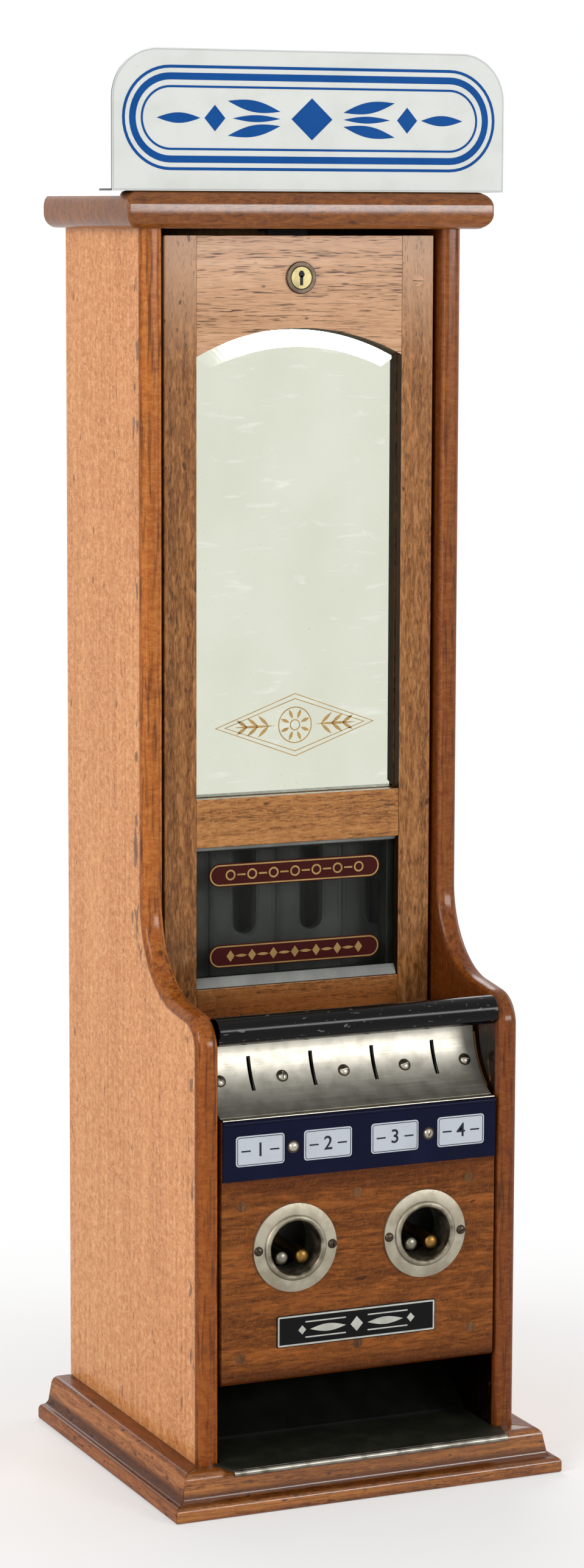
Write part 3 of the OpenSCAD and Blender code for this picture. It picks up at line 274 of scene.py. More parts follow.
def enamel(name, colour, stain, rough, shine=0.3, chips=None):
    """Vitreous enamel: glassy and even, with a faint orange-peel ripple, thin stains and a few specks. Chips
    show the bare metal along a worn part."""
    material, tree, here = blank(name)
    patches = add(tree, "ShaderNodeMapping", {"Vector": here, "Scale": per_mm(22, 22, 22)})
    cloud = add(tree, "ShaderNodeTexNoise", {"Vector": patches, "Scale": 1, "Detail": 4})
    dots = add(tree, "ShaderNodeMapping", {"Vector": here, "Scale": per_mm(1.8, 1.8, 1.8)})
    specks = add(tree, "ShaderNodeTexNoise", {"Vector": dots, "Scale": 1})
    peel = add(tree, "ShaderNodeMapping", {"Vector": here, "Scale": per_mm(5, 5, 5)})
    ripple = add(tree, "ShaderNodeTexNoise", {"Vector": peel, "Scale": 1})
    veil = add(tree, "ShaderNodeMapRange", {
        "Value": cloud, "From Min": 0.48, "From Max": 0.75, "To Max": 0.4})
    spots = add(tree, "ShaderNodeMapRange", {
        "Value": specks, "From Min": 0.7, "From Max": 0.76, "To Max": 0.6})
    marks = add(tree, "ShaderNodeMath", {0: veil, 1: spots}, operation="MAXIMUM")
    mixed = add(tree, "ShaderNodeMix", {
        "Factor": marks, "A": srgb(colour), "B": srgb(stain)}, data_type="RGBA")
    if chips:
        worn = add(tree, "ShaderNodeMapping", {"Vector": here, "Scale": per_mm(5, 2.5, 2)})
        flakes = add(tree, "ShaderNodeTexNoise", {"Vector": worn, "Scale": 1, "Detail": 3})
        bare = add(tree, "ShaderNodeMapRange", {"Value": flakes, "From Min": 0.66, "From Max": 0.69})
        mixed = add(tree, "ShaderNodeMix", {"Factor": bare, "A": mixed, "B": srgb(chips)}, data_type="RGBA")
    gloss = add(tree, "ShaderNodeMapRange", {"Value": cloud, "To Min": rough, "To Max": rough + 0.14})
    bump = add(tree, "ShaderNodeBump", {"Height": ripple, "Strength": 0.05, "Distance": 0.2 * MM})
    glaze = add(tree, "ShaderNodeBsdfPrincipled", {
        "Base Color": mixed, "Roughness": gloss, "Normal": bump, "IOR": 1.5, "Specular IOR Level": shine})
    add(tree, "ShaderNodeOutputMaterial", {"Surface": glaze})
    return material


def metal(name, colour, tarnish, rough, brushed=(2, 2, 2), amount=0.5, grime=None):
    """Metal, brushed or mottled: 'brushed' is the size of its marks along each axis. Tarnish gathers in
    clouds up to an amount, and grime with painted shade where the attribute says."""
    material, tree, here = blank(name)
    strokes = add(tree, "ShaderNodeMapping", {"Vector": here, "Scale": per_mm(*brushed)})
    marks = add(tree, "ShaderNodeTexNoise", {"Vector": strokes, "Scale": 1, "Detail": 3})
    patches = add(tree, "ShaderNodeMapping", {"Vector": here, "Scale": per_mm(9, 9, 9)})
    cloud = add(tree, "ShaderNodeTexNoise", {"Vector": patches, "Scale": 1, "Detail": 4})
    veil = add(tree, "ShaderNodeMapRange", {
        "Value": cloud, "From Min": 0.42, "From Max": 0.7, "To Max": amount})
    base = add(tree, "ShaderNodeMix", {
        "Factor": veil, "A": srgb(colour), "B": srgb(tarnish)}, data_type="RGBA")
    if grime:
        # Grime at the cup's rim and painted shade in its sleeve, where the attribute says
        held = add(tree, "ShaderNodeAttribute", attribute_name="grime").outputs["Fac"]
        patchy = add(tree, "ShaderNodeMapRange", {"Value": cloud, "From Min": 0.3, "From Max": 0.6})
        shade_and_dirt = add(tree, "ShaderNodeMath", {0: held, 1: patchy}, operation="MULTIPLY")
        base = add(tree, "ShaderNodeMix", {"Factor": shade_and_dirt, "A": base, "B": srgb(grime)}, data_type="RGBA")
    gloss = add(tree, "ShaderNodeMapRange", {"Value": marks, "To Min": rough - 0.1, "To Max": rough + 0.14})
    bump = add(tree, "ShaderNodeBump", {"Height": marks, "Strength": 0.1, "Distance": 0.12 * MM})
    plate = add(tree, "ShaderNodeBsdfPrincipled", {
        "Base Color": base, "Roughness": gloss, "Normal": bump, "Metallic": 1})
    add(tree, "ShaderNodeOutputMaterial", {"Surface": plate})
    return material


def japanned(name, colour, worn, rough, shine=0.35):
    """Japanned tin: thin dark lacquer, dulled and rubbed in patches."""
    material, tree, here = blank(name)
    patches = add(tree, "ShaderNodeMapping", {"Vector": here, "Scale": per_mm(16, 16, 30)})
    cloud = add(tree, "ShaderNodeTexNoise", {"Vector": patches, "Scale": 1, "Detail": 5})
    strokes = add(tree, "ShaderNodeMapping", {"Vector": here, "Scale": per_mm(2, 7, 7)})
    scuffs = add(tree, "ShaderNodeTexNoise", {"Vector": strokes, "Scale": 1, "Detail": 3})
    rubbed = add(tree, "ShaderNodeMapRange", {
        "Value": cloud, "From Min": 0.42, "From Max": 0.72, "To Max": 0.8})
    base = add(tree, "ShaderNodeMix", {
        "Factor": rubbed, "A": srgb(colour), "B": srgb(worn)}, data_type="RGBA")
    gloss = add(tree, "ShaderNodeMapRange", {
        "Value": scuffs, "To Min": rough - 0.08, "To Max": rough + 0.16})
    bump = add(tree, "ShaderNodeBump", {"Height": cloud, "Strength": 0.1, "Distance": 0.3 * MM})
    lacquer = add(tree, "ShaderNodeBsdfPrincipled", {
        "Base Color": base, "Roughness": gloss, "Normal": bump, "IOR": 1.5, "Specular IOR Level": shine})
    add(tree, "ShaderNodeOutputMaterial", {"Surface": lacquer})
    return material


def silvered(name, colour, cloudy):
    """Old silvered glass: a true mirror with a pale green-grey cast, a faint bloom and the smears of a
    cloth."""
    material, tree, here = blank(name)
    patches = add(tree, "ShaderNodeMapping", {"Vector": here, "Scale": per_mm(50, 50, 70)})
    bloom = add(tree, "ShaderNodeTexNoise", {"Vector": patches, "Scale": 1, "Detail": 4})
    dots = add(tree, "ShaderNodeMapping", {"Vector": here, "Scale": per_mm(2.5, 2.5, 1.5)})
    specks = add(tree, "ShaderNodeTexNoise", {"Vector": dots, "Scale": 1, "Detail": 1})
    tone = add(tree, "ShaderNodeValToRGB", {"Fac": bloom}, ((0.35, cloudy), (0.65, colour)))
    spots = add(tree, "ShaderNodeMapRange", {
        "Value": specks, "From Min": 0.74, "From Max": 0.8, "To Max": 0.3})
    tone = add(tree, "ShaderNodeMix", {"Factor": spots, "A": tone, "B": srgb("#9A9C8E")}, data_type="RGBA")
    wiped = add(tree, "ShaderNodeMapping", {"Vector": here, "Scale": per_mm(26, 26, 6)})
    wipes = add(tree, "ShaderNodeTexNoise", {"Vector": wiped, "Scale": 1, "Detail": 4, "Distortion": 0.6})
    smears = add(tree, "ShaderNodeMapRange", {
        "Value": wipes, "From Min": 0.6, "From Max": 0.76, "To Max": 0.6})
    tone = add(tree, "ShaderNodeMix", {"Factor": smears, "A": tone, "B": srgb("#F2F4EA")}, data_type="RGBA")
    haze = add(tree, "ShaderNodeMapRange", {"Value": bloom, "To Min": 0.02, "To Max": 0.07})
    silver = add(tree, "ShaderNodeBsdfPrincipled", {"Base Color": tone, "Roughness": haze, "Metallic": 1})
    add(tree, "ShaderNodeOutputMaterial", {"Surface": silver})
    return material


def clear_glass(name):
    """Thin window glass: clear, with a trace of old dust. A low IOR keeps its reflections faint, and a low
    alpha lets the light on the columns behind it through."""
    material, tree, here = blank(name)
    patches = add(tree, "ShaderNodeMapping", {"Vector": here, "Scale": per_mm(25, 25, 25)})
    dust = add(tree, "ShaderNodeTexNoise", {"Vector": patches, "Scale": 1, "Detail": 3})
    tone = add(tree, "ShaderNodeValToRGB", {"Fac": dust}, ((0.35, "#D2D8D4"), (0.65, "#EEF2EF")))
    pane = add(tree, "ShaderNodeBsdfPrincipled", {
        "Base Color": tone, "Roughness": 0, "IOR": 1.2, "Transmission Weight": 1, "Alpha": 0.3})
    add(tree, "ShaderNodeOutputMaterial", {"Surface": pane})
    return material


# Oak tones from dark to light wood, then ray fleck, then pore
SIDE_OAK = ("#B67036", "#D18A50", "#E4A66E", "#EAB27E", "#74401A")
STILE_OAK = ("#5E381C", "#8C5A2E", "#B07A4A", "#B48454", "#301A0A")
# The top rail's tones are paler than the other rails': the oak with a painted sheen of lamp light
SHEENED_RAIL_OAK = ("#A67A54", "#C0926C", "#D0A684", "#D4AE8E", "#462A16")
LOW_RAIL_OAK = ("#764624", "#A26C3A", "#C0864E", "#C6905C", "#361E0A")
PANEL_OAK = ("#502A10", "#723F18", "#985826", "#9E6232", "#30180C")
TOP_OAK = ("#5E3010", "#7E4618", "#985A24", "#A06630", "#301808")
PLINTH_OAK = ("#683814", "#8E5424", "#B07034", "#B47A40", "#38200A")
PLINTH_SIDE_OAK = ("#7A421C", "#A66636", "#C27E4A", "#C68A58", "#44240E")
PINE = ("#7A5636", "#94704A", "#A9855C", "#B4926C", "#5A3E26")
DARK_OAK = ("#140C06", "#1E120A", "#281A0F", "#2E2014", "#0C0603")
END_GRAIN = ("#4A2C14", "#64401F", "#785030", "#825A38", "#2A180A")
# Tints of a side panel from its flat outer face over the round nose to its inner face, at its foot and at its
# head: painted shade where the nose starts to round and on the inner face, and on the left nose a painted
# highlight line; then painted shade on its inner face from the floor to 300 mm: black in the delivery opening
# and beside the coin plate
LEFT_NOSE_LIGHT_AND_SHADE = (
    ((0.15, "#FFFFFF"), (0.3, "#90703E"), (0.42, "#B08C56"), (0.54, "#A6844E"), (0.6, "#D6B27A"),
     (0.66, "#D6B27A"), (0.72, "#6E5230"), (1, "#5E4028")),
    ((0.15, "#FFFFFF"), (0.3, "#B08E5C"), (0.42, "#D4B680"), (0.54, "#CAAC78"), (0.6, "#FFEACC"),
     (0.66, "#FFEACC"), (0.72, "#80603C"), (1, "#6C4E34")),
    ((0, "#100C0A"), (0.25, "#140E0C"), (0.3, "#FFFFFF")))
RIGHT_NOSE_TINTS_AND_SHADE = (
    ((0.15, "#FFFFFF"), (0.3, "#8A6C44"), (0.45, "#8C6E46"), (0.6, "#96784C"), (0.75, "#7A5C38"),
     (1, "#74563A")),
    ((0.15, "#FFFFFF"), (0.3, "#9A7E54"), (0.45, "#947850"), (0.6, "#A88C5E"), (0.75, "#7C6042"),
     (1, "#785A3E")),
    ((0, "#100C0A"), (0.25, "#140E0C"), (0.3, "#C0AE9C"), (0.72, "#C0AE9C"), (0.77, "#2C2018"),
     (0.87, "#2C2018"), (0.93, "#FFFFFF")))
# Painted shade between two heights in millimetres, as tints over the share of the way up: in the plinth's
# coves and at its foot and top, at the foot of the door's bottom rail, and at the panel's foot and under the
# label strip
COVE_SHADE = (0, PLINTH_TOP, (
    (0, "#B8A690"), (0.12, "#FFFFFF"), (0.28, "#FFFFFF"), (0.36, "#9A8878"), (0.5, "#9A8878"),
    (0.62, "#FFFFFF"), (0.9, "#FFFFFF"), (1, "#C8B6A2")))
SIDE_COVE_SHADE = (0, PLINTH_TOP, (
    (0, "#A09080"), (0.1, "#E8DCCC"), (0.28, "#F4E8DC"), (0.36, "#7E7068"), (0.52, "#8C7C70"),
    (0.66, "#FFFFFF"), (0.9, "#FFFFFF"), (1, "#B8A694")))
SILL_SHADE = (278, 292, ((0, "#CCB09A"), (1, "#FFFFFF")))
PANEL_SHADE = (71, 192, ((0, "#8E7A68"), (0.12, "#FFFFFF"), (0.85, "#FFFFFF"), (1, "#CCBEAE")))
SIDE_GRAIN = {"fleck": 0.5, "pore": 0.12, "pore_length": 8, "figure": (3.4, 4, 0.55), "bands": 0.25,
              "knocked": 0.735}

MATERIALS = {
    "left_side": oak("quarter_sawn_oak_left_side", SIDE_OAK, "y", "z", 0.31,
                     nose_wear_and_light=LEFT_NOSE_LIGHT_AND_SHADE, **SIDE_GRAIN),
    "right_side": oak("quarter_sawn_oak_right_side", SIDE_OAK, "y", "z", 0.83,
                      nose_wear_and_light=RIGHT_NOSE_TINTS_AND_SHADE, **SIDE_GRAIN),
    # The stiles carry a painted sheen of lamp light towards their tops
    "stile": oak("plain_sawn_oak_stiles", STILE_OAK, "x", "z", 1.7, fleck=0.12, pore=0.5, pore_length=4,
                 figure=(1.7, 8, 0.6), painted_sheen=(655, 715, "#BC9270")),
    "top_rail": oak("plain_sawn_oak_top_rail", SHEENED_RAIL_OAK, "z", "x", 2.3, fleck=0.1, pore=1, pore_length=13,
                    figure=(1.2, 14, 0.35)),
    "rail": oak("plain_sawn_oak_rails", LOW_RAIL_OAK, "z", "x", 2.9, figure=(1.2, 7, 0.5), shade_and_dirt=SILL_SHADE),
    # The faces lining the door's openings are near black, darker than the rest of the door
    "reveal": oak("near_black_reveal_oak", DARK_OAK, "x", "z", 9.1, fleck=0, pore=0.4, varnish=(0.05, 0.3)),
    "panel": oak("quarter_sawn_oak_panel", PANEL_OAK, "z", "x", 3.1, fleck=0.25, pore=0.4,
                 figure=(2.2, 13, 0.5), shade_and_dirt=PANEL_SHADE, varnish=(0.12, 0.16)),
    "top": oak("oak_top_board", TOP_OAK, "y", "x", 4.4, fleck=0.15, pore=0.5, varnish=(0.55, 0.1)),
    "plinth_front": oak("oak_plinth_front", PLINTH_OAK, "z", "x", 5.2, fleck=0.2, pore=0.7,
                        figure=(1.6, 20, 0.55), shade_and_dirt=COVE_SHADE, varnish=(0.8, 0.2), knocked=0.67),
    "plinth_side": oak("oak_plinth_sides", PLINTH_SIDE_OAK, "z", "y", 6.8, fleck=0.2, pore=0.5,
                       figure=(2, 24, 0.6), shade_and_dirt=SIDE_COVE_SHADE, varnish=(0.22, 0.16), knocked=0.66),
    "plug": oak("oak_end_grain_plugs", END_GRAIN, "x", "y", 8.3, fleck=0),
    "pine": oak("unfinished_pine", PINE, "x", "z", 7.7, fleck=0, pore=0.2, varnish=(0, 0)),
    "white": enamel("white_vitreous_enamel", "#D4D7D3", "#C4C5BE", 0.2, shine=0.05),
    "blue": enamel("blue_vitreous_enamel", "#134C90", "#103F7C", 0.3, shine=0.02),
    "black": enamel("black_gloss_enamel", "#0C0C0E", "#18181B", 0.12, shine=0.1),
    "hood": enamel("worn_black_gloss_enamel", "#060607", "#0E0E10", 0.1, shine=0.15, chips="#5E5E5C"),
    "rim": enamel("worn_enamel_rim", "#4E5254", "#36393B", 0.3),
    "worn_edge": enamel("grey_worn_enamel", "#B2B5B2", "#9A9D9A", 0.3),
    "ink": enamel("dark_label_print", "#24262E", "#383A42", 0.4, shine=0.1),
    "navy": enamel("navy_vitreous_enamel", "#0E1129", "#171B3A", 0.16, shine=0.06),
    "pale": enamel("pale_label_enamel", "#B9BFC8", "#A4A8AE", 0.25, shine=0.2),
    "maroon": enamel("maroon_enamel", "#3E1210", "#2C0C0A", 0.3, shine=0.06),
    "nickel": metal("brushed_nickel_plate", "#BCB8AC", "#827D6F", 0.42, brushed=(60, 0.5, 0.5)),
    "cup": metal("dull_nickel_cups", "#A69F8E", "#827864", 0.48, brushed=(1.2, 1.2, 1.2), amount=0.6,
                 grime="#42392A"),
    "rod": metal("dull_nickel_rods", "#7C786C", "#524E44", 0.3, brushed=(1, 6, 1)),
    "lip": metal("worn_tinned_lip", "#98948A", "#4A453C", 0.34, brushed=(4, 1, 1), amount=0.9),
    "pale_brass": metal("pale_worn_brass", "#9A8E66", "#6E6242", 0.42, brushed=(1, 1, 1), amount=0.8),
    "screw": metal("nickelled_screws", "#B4AFA2", "#7E7666", 0.28, brushed=(1, 1, 1)),
    "brass": metal("worn_brass", "#8E6B38", "#54401E", 0.34, brushed=(1, 8, 1)),
    "bronze": metal("darkened_bronze", "#4A4036", "#241E18", 0.34),
    "gilt": metal("rubbed_gilt", "#94784C", "#6C5632", 0.4),
    "silver": metal("rubbed_silver_line", "#B4B4AC", "#8C8C84", 0.4),
    "steel": metal("plain_mild_steel", "#85857F", "#5C5A54", 0.4, brushed=(6, 0.6, 6)),
    "spring": metal("drawn_spring_steel", "#7C7A75", "#55534F", 0.3),
    "tin": japanned("japanned_tin", "#16170F", "#28271E", 0.42),
    # Near-black tin: painted shade on the lock strike in the gap above the door and on the delivery chute
    "shade_black_tin": japanned("tin_blackened_as_shade", "#0E0E0C", "#191914", 0.5, shine=0.1),
    "strip": japanned("grey_painted_strip", "#7E807C", "#9A9C96", 0.4),
    "magazine": japanned("grey_japanned_tin", "#30322E", "#42443E", 0.5),
    "bare_tin": japanned("dull_bare_tin", "#74766E", "#888A80", 0.5),
    "mirror": silvered("silvered_glass", "#E0E3D3", "#DADDCB"),
    "glass": clear_glass("window_glass_sheet"),
}


# Making pieces

def link(name, data):
    """New object in the scene."""
    piece = bpy.data.objects.new(name, data)
    bpy.context.scene.collection.objects.link(piece)
    return piece


@contextmanager
def editing(mesh):
    """Opens a mesh for edits and writes them back."""
    work = bmesh.new()
    work.from_mesh(mesh)
    yield work
    work.to_mesh(mesh)
    work.free()


def close(mesh):
    """Merges equal points and turns the faces outwards."""
    with editing(mesh) as work:
        bmesh.ops.remove_doubles(work, verts=work.verts, dist=0.001 * MM)
        bmesh.ops.recalc_face_normals(work, faces=work.faces)


def build(name, shape, marks=None):
    """Piece from points in millimetres and faces; marks are the name and the values of an attribute."""
    points, faces = shape
    mesh = bpy.data.meshes.new(name)
    mesh.from_pydata([to_frame(*point) for point in points], [], faces)
    if marks:
        key, values = marks
        mesh.attributes.new(key, "FLOAT", "POINT").data.foreach_set("value", values)
    close(mesh)
    return link(name, mesh)


def result_of(piece):
    """New mesh of an object with its modifiers applied."""
    graph = bpy.context.evaluated_depsgraph_get()
    return bpy.data.meshes.new_from_object(piece.evaluated_get(graph))


def bake(piece):
    """Makes the result of a piece's modifiers its plain mesh."""
    mesh = result_of(piece)
    piece.modifiers.clear()
    piece.data = mesh


def shade(piece, angle=SHARP):
    """Smooth curves between sharp edges."""
    for face in piece.data.polygons:
        face.use_smooth = True
    piece.data.set_sharp_from_angle(angle=math.radians(angle))


def round_edges(piece, width, fuller=None):
    """Rounds the sharp edges of a piece, in millimetres, and keeps its flat faces flat to the eye; fuller is
    a larger width and a test of the places where it holds."""
    shade(piece)
    bevel = piece.modifiers.new("edges", "BEVEL")
    bevel.width, bevel.segments, bevel.limit_method = width * MM, 2, "ANGLE"
    bevel.angle_limit = math.radians(SHARP)
    bevel.harden_normals = True
    if fuller:
        full_width, holds = fuller
        bevel.width, bevel.segments, bevel.limit_method = full_width * MM, 4, "WEIGHT"
        with editing(piece.data) as work:
            weight = work.edges.layers.float.new("bevel_weight_edge")
            for edge in work.edges:
                if edge.calc_face_angle(0) > bevel.angle_limit:
                    middle = (edge.verts[0].co + edge.verts[1].co) / 2
                    edge[weight] = 1 if holds(*in_mm(middle)) else width / full_width
    bake(piece)


def dress(piece, materials, body, slot, *replaced):
    """Gives a piece its materials and says what it rides on and stands for."""
    piece.data.materials.clear()
    for name in materials.split():
        piece.data.materials.append(MATERIALS[name])
    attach(piece, body)
    if replaced:
        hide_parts(*replaced)
    return piece


def dress_node(piece, materials, node):
    """Dresses the piece that stands for a CAD node."""
    return dress(piece, materials, NODES[node]["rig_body"], SLOTS[node], node)


def paint(piece, holds):
    """Second finish on the faces that pass a test of their middle, in millimetres, and of their normal."""
    for face in piece.data.polygons:
        face.material_index = int(holds(*in_mm(face.center), face.normal))


def copy_of(node):
    """Merged copy of a CAD node's mesh with its flat faces joined."""
    mesh = NODES[node].data.copy()
    if "custom_normal" in mesh.attributes:
        mesh.attributes.remove(mesh.attributes["custom_normal"])
    with editing(mesh) as work:
        bmesh.ops.remove_doubles(work, verts=work.verts, dist=0.01 * MM)
        bmesh.ops.dissolve_limit(work, angle_limit=math.radians(0.6), verts=work.verts, edges=work.edges)
    return link(node + "_piece", mesh)


def soften(node, materials, width, fuller=None):
    """CAD node with rounded edges and its own finish."""
    piece = copy_of(node)
    round_edges(piece, width, fuller)
    return dress_node(piece, materials, node)


def arc(centre, radius, start, end, steps):
    """Points along an arc from one angle to another, in degrees."""
    angles = [math.radians(start + (end - start) * i / steps) for i in range(steps + 1)]
    return [(centre[0] + radius * math.cos(a), centre[1] + radius * math.sin(a)) for a in angles]


def loft(rings, closed_ends=True):
    """Points and faces of rings of equal length, with the first and last ring filled or else joined."""
    n = len(rings[0])
    last = (len(rings) - 1) * n
    points = [p for ring in rings for p in ring]
    faces = [(k * n + i, k * n + (i + 1) % n, (k + 1) * n + (i + 1) % n, (k + 1) * n + i)
             for k in range(len(rings) - 1) for i in range(n)]
    if closed_ends:
        faces += [tuple(range(n)), tuple(range(last, last + n))]
    else:
        faces += [(last + i, last + (i + 1) % n, (i + 1) % n, i) for i in range(n)]
    return points, faces


def prism(section, axis, start, end):
    """Section carried along an axis; its points hold the other two coordinates in their order."""
    place = "xyz".index(axis)
    return loft([[(*point[:place], t, *point[place:]) for point in section] for t in (start, end)])


def join(shapes):
    """Several shapes as one."""
    points, faces = [], []
    for more, sides in shapes:
        faces += [tuple(i + len(points) for i in side) for side in sides]
        points += more
    return points, faces


def flat_work(name, y, thick, plates=(), bands=()):
    """Thin work on a front face at y: plates are outlines, bands are pairs of outer and inner outlines of
    equal length, all as (x, z)."""
    shapes = [prism(outline, "y", y - thick, y) for outline in plates]
    for outer, inner in bands:
        turns = ((outer, y - thick), (inner, y - thick), (inner, y), (outer, y))
        shapes.append(loft([[(x, depth, z) for x, z in outline] for outline, depth in turns], False))
    return build(name, join(shapes))


def rounded(x, z, wide, high, radius):
    """Outline of a rectangle with round corners about (x, z)."""
    a, b, steps = wide / 2 - radius, high / 2 - radius, 8
    corners = ((a, b, 0), (-a, b, 90), (-a, -b, 180), (a, -b, 270))
    return [p for cx, cz, start in corners for p in arc((x + cx, z + cz), radius, start, start + 90, steps)]


def framed(x, z, wide, high, radius, line):
    """Band of one line's width just inside a rounded rectangle."""
    return (rounded(x, z, wide, high, radius),
            rounded(x, z, wide - 2 * line, high - 2 * line, max(radius - line, 0.1)))


def circle(x, z, radius, steps=32):
    return arc((x, z), radius, 0, 360 - 360 / steps, steps - 1)


def lozenge(x, z, wide, high):
    return [(x - wide / 2, z), (x, z - high / 2), (x + wide / 2, z), (x, z + high / 2)]


def leaf(x0, z0, x1, z1, wide):
    """Slim leaf between two points."""
    steps = 14
    run = Vector((x1 - x0, z1 - z0))
    side = Vector((-run.y, run.x)).normalized() * wide / 2
    middle = [(Vector((x0, z0)) + run * (i / steps), math.sin(math.pi * i / steps)) for i in range(steps + 1)]
    upper = [p + side * s for p, s in middle]
    lower = [p - side * s for p, s in middle[1:-1]]
    return [tuple(p) for p in upper + lower[::-1]]


# Case

def make_side(sign, node):
    """Side panel with a round nose along its S-shaped front; 'edge' runs from the outer face over a chipped
    margin and the nose to the inner face."""
    nose, fade, margin, steps = 5, 1.5, 17, 8
    shoulder, shoulder_r, cove_r, slope = (20, 270), 20, 52, 7
    rise = math.radians(slope)
    foot_y, foot_z = shoulder[0] - shoulder_r * math.sin(rise), shoulder[1] + shoulder_r * math.cos(rise)
    cove_y = UPPER_SETBACK - cove_r
    head_y = cove_y + cove_r * math.sin(rise)
    cove = (cove_y, foot_z + (head_y - foot_y) * math.tan(rise) + cove_r * math.cos(rise))

    def outline(inset):
        lower = arc(shoulder, shoulder_r - inset, 180, 90 + slope, 20)
        upper = arc(cove, cove_r + inset, slope - 90, 0, 28)
        return ([(CASE_DEPTH, PLINTH_TOP), (inset, PLINTH_TOP)] + lower + upper
                + [(UPPER_SETBACK + inset, CASE_TOP), (CASE_DEPTH, CASE_TOP)])

    # Each slice has its distance from the inner face, its inset from the front and its place along 'edge'
    turns = [math.pi / 2 * i / steps for i in range(steps + 1)]
    slices = [(SIDE_THICK, margin, 0), (SIDE_THICK, nose + fade, 0.15)]
    slices += [(SIDE_THICK - nose * (1 - math.cos(a)), nose * (1 - math.sin(a)), 0.3 + 0.2 * math.sin(a))
               for a in turns]
    slices += [(nose * (1 - math.sin(a)), nose * (1 - math.cos(a)), 1 - 0.5 * math.cos(a)) for a in turns]
    slices += [(0, nose + fade, 1)]
    rings = [[(sign * (INNER_HALF + x), y, z) for y, z in outline(inset)] for x, inset, mark in slices]
    marks = [round(mark) if y >= CASE_DEPTH else mark for x, inset, mark in slices for y, z in outline(inset)]
    piece = build(node + "_piece", loft(rings), ("edge", marks))
    shade(piece, 50)
    dress_node(piece, node, node)


def make_back():
    """Three upright boards with chamfered joints."""
    groove, count, face = 1.2, 3, 199
    wide = 2 * INNER_HALF / count
    boards = []
    for i in range(count):
        a, b = -INNER_HALF + i * wide, -INNER_HALF + (i + 1) * wide
        left = a if i == 0 else a + groove
        right = b if i == count - 1 else b - groove
        section = [(a, face), (b, face), (b, BACK_FACE - groove), (right, BACK_FACE), (left, BACK_FACE),
                   (a, BACK_FACE - groove)]
        boards.append(prism(section, "z", PLINTH_TOP, CASE_TOP))
    dress_node(build("back_panel_piece", join(boards)), "pine", "back_panel")


def on_floor(x, y, z):
    """Outer edges of the plinth along the floor."""
    inner_x, inner_y = 120, -18
    return z < 0.1 and (abs(x) > inner_x or y < inner_y)


def on_board_corner(x, y, z):
    """Front corners of the top board."""
    inner_x, inner_y = 108, 79
    return abs(x) > inner_x and y < inner_y


make_side(-1, "left_side")
make_side(1, "right_side")
make_back()
soften("base_board", "plinth_front", 0.6)
for node, finish in (("plinth_front", "plinth_front"), ("plinth_left", "plinth_side"),
                     ("plinth_right", "plinth_side")):
    soften(node, finish, 0.7, (1.6, on_floor))
soften("top_board", "top", 0.6, (5, on_board_corner))
for node, finish, width in (("lower_front_panel", "panel", 0.7), ("inner_battens", "pine", 0.6),
                            ("coin_block", "pine", 0.5)):
    soften(node, finish, width)


# Door

def on_door_edge(x, y, z):
    """Outer front edges and upper ends of the stiles."""
    inner_x, lower_z = 86, 731
    return abs(x) > inner_x and (y < DOOR_FACE + 0.5 or z > lower_z)


def in_opening(x, y, z, normal):
    """Faces that line the door's openings."""
    low, high, reach = 280, 700, 0.6
    inside = abs(x) < OPENING_HALF + reach and low < z < high and y > DOOR_FACE + reach
    return inside and abs(normal.y) < 0.5


def make_mirror():
    """Pane with an arched top and a broad cut bevel, so that its rim catches other light than its middle."""
    bevel, drop, thick, foot, steps = 16.5, 1.5, 4, 396.5, 40

    def outline(inset):
        half, radius = GLASS_HALF - inset, ARCH_RADIUS + GLASS_HALF - OPENING_HALF - inset
        spring = math.degrees(math.acos(half / radius))
        return ([(-half, foot + inset), (half, foot + inset)]
                + arc((0, ARCH_CENTRE), radius, spring, 180 - spring, steps))

    rings = [[(x, y, z) for x, z in outline(inset)]
             for inset, y in ((0, GLASS_Y + thick), (0, GLASS_Y + drop), (bevel, GLASS_Y))]
    dress_node(build("bevelled_mirror_piece", loft(rings)), "mirror", "bevelled_mirror")


for node, finish, fuller in (
        ("door_left_stile", "stile", (3, on_door_edge)), ("door_right_stile", "stile", (3, on_door_edge)),
        ("door_top_rail", "top_rail", None), ("door_mid_rail", "rail", None),
        ("door_bottom_rail", "rail", None)):
    paint(soften(node, finish + " reveal", 0.6, fuller), in_opening)
for node, finish, width in (
        ("mirror_back", "pine", 0.4), ("window_frame", "tin", 0.5), ("window_placards", "maroon", 0.3),
        ("door_pivots", "steel", 0.3), ("lock_body", "bronze", 0.6), ("lock_plug", "pale_brass", 0.25),
        # The lock strike is near black: painted shade in the gap above the door
        ("lock_cam", "brass", 0.3), ("lock_strike", "shade_black_tin", 0.3), ("window_glass", "glass", 0.2)):
    soften(node, finish, width)
make_mirror()


# Front fittings

def on_sign_rim(x, y, z, normal):
    """Faces of the sign that look neither forward, back nor up."""
    return abs(normal.y) <= 0.9 and normal.z <= 0.9


def on_tray_lip(x, y, z, normal):
    """Rolled lip at the front of the tray."""
    lip_back = -16.5
    return y < lip_back


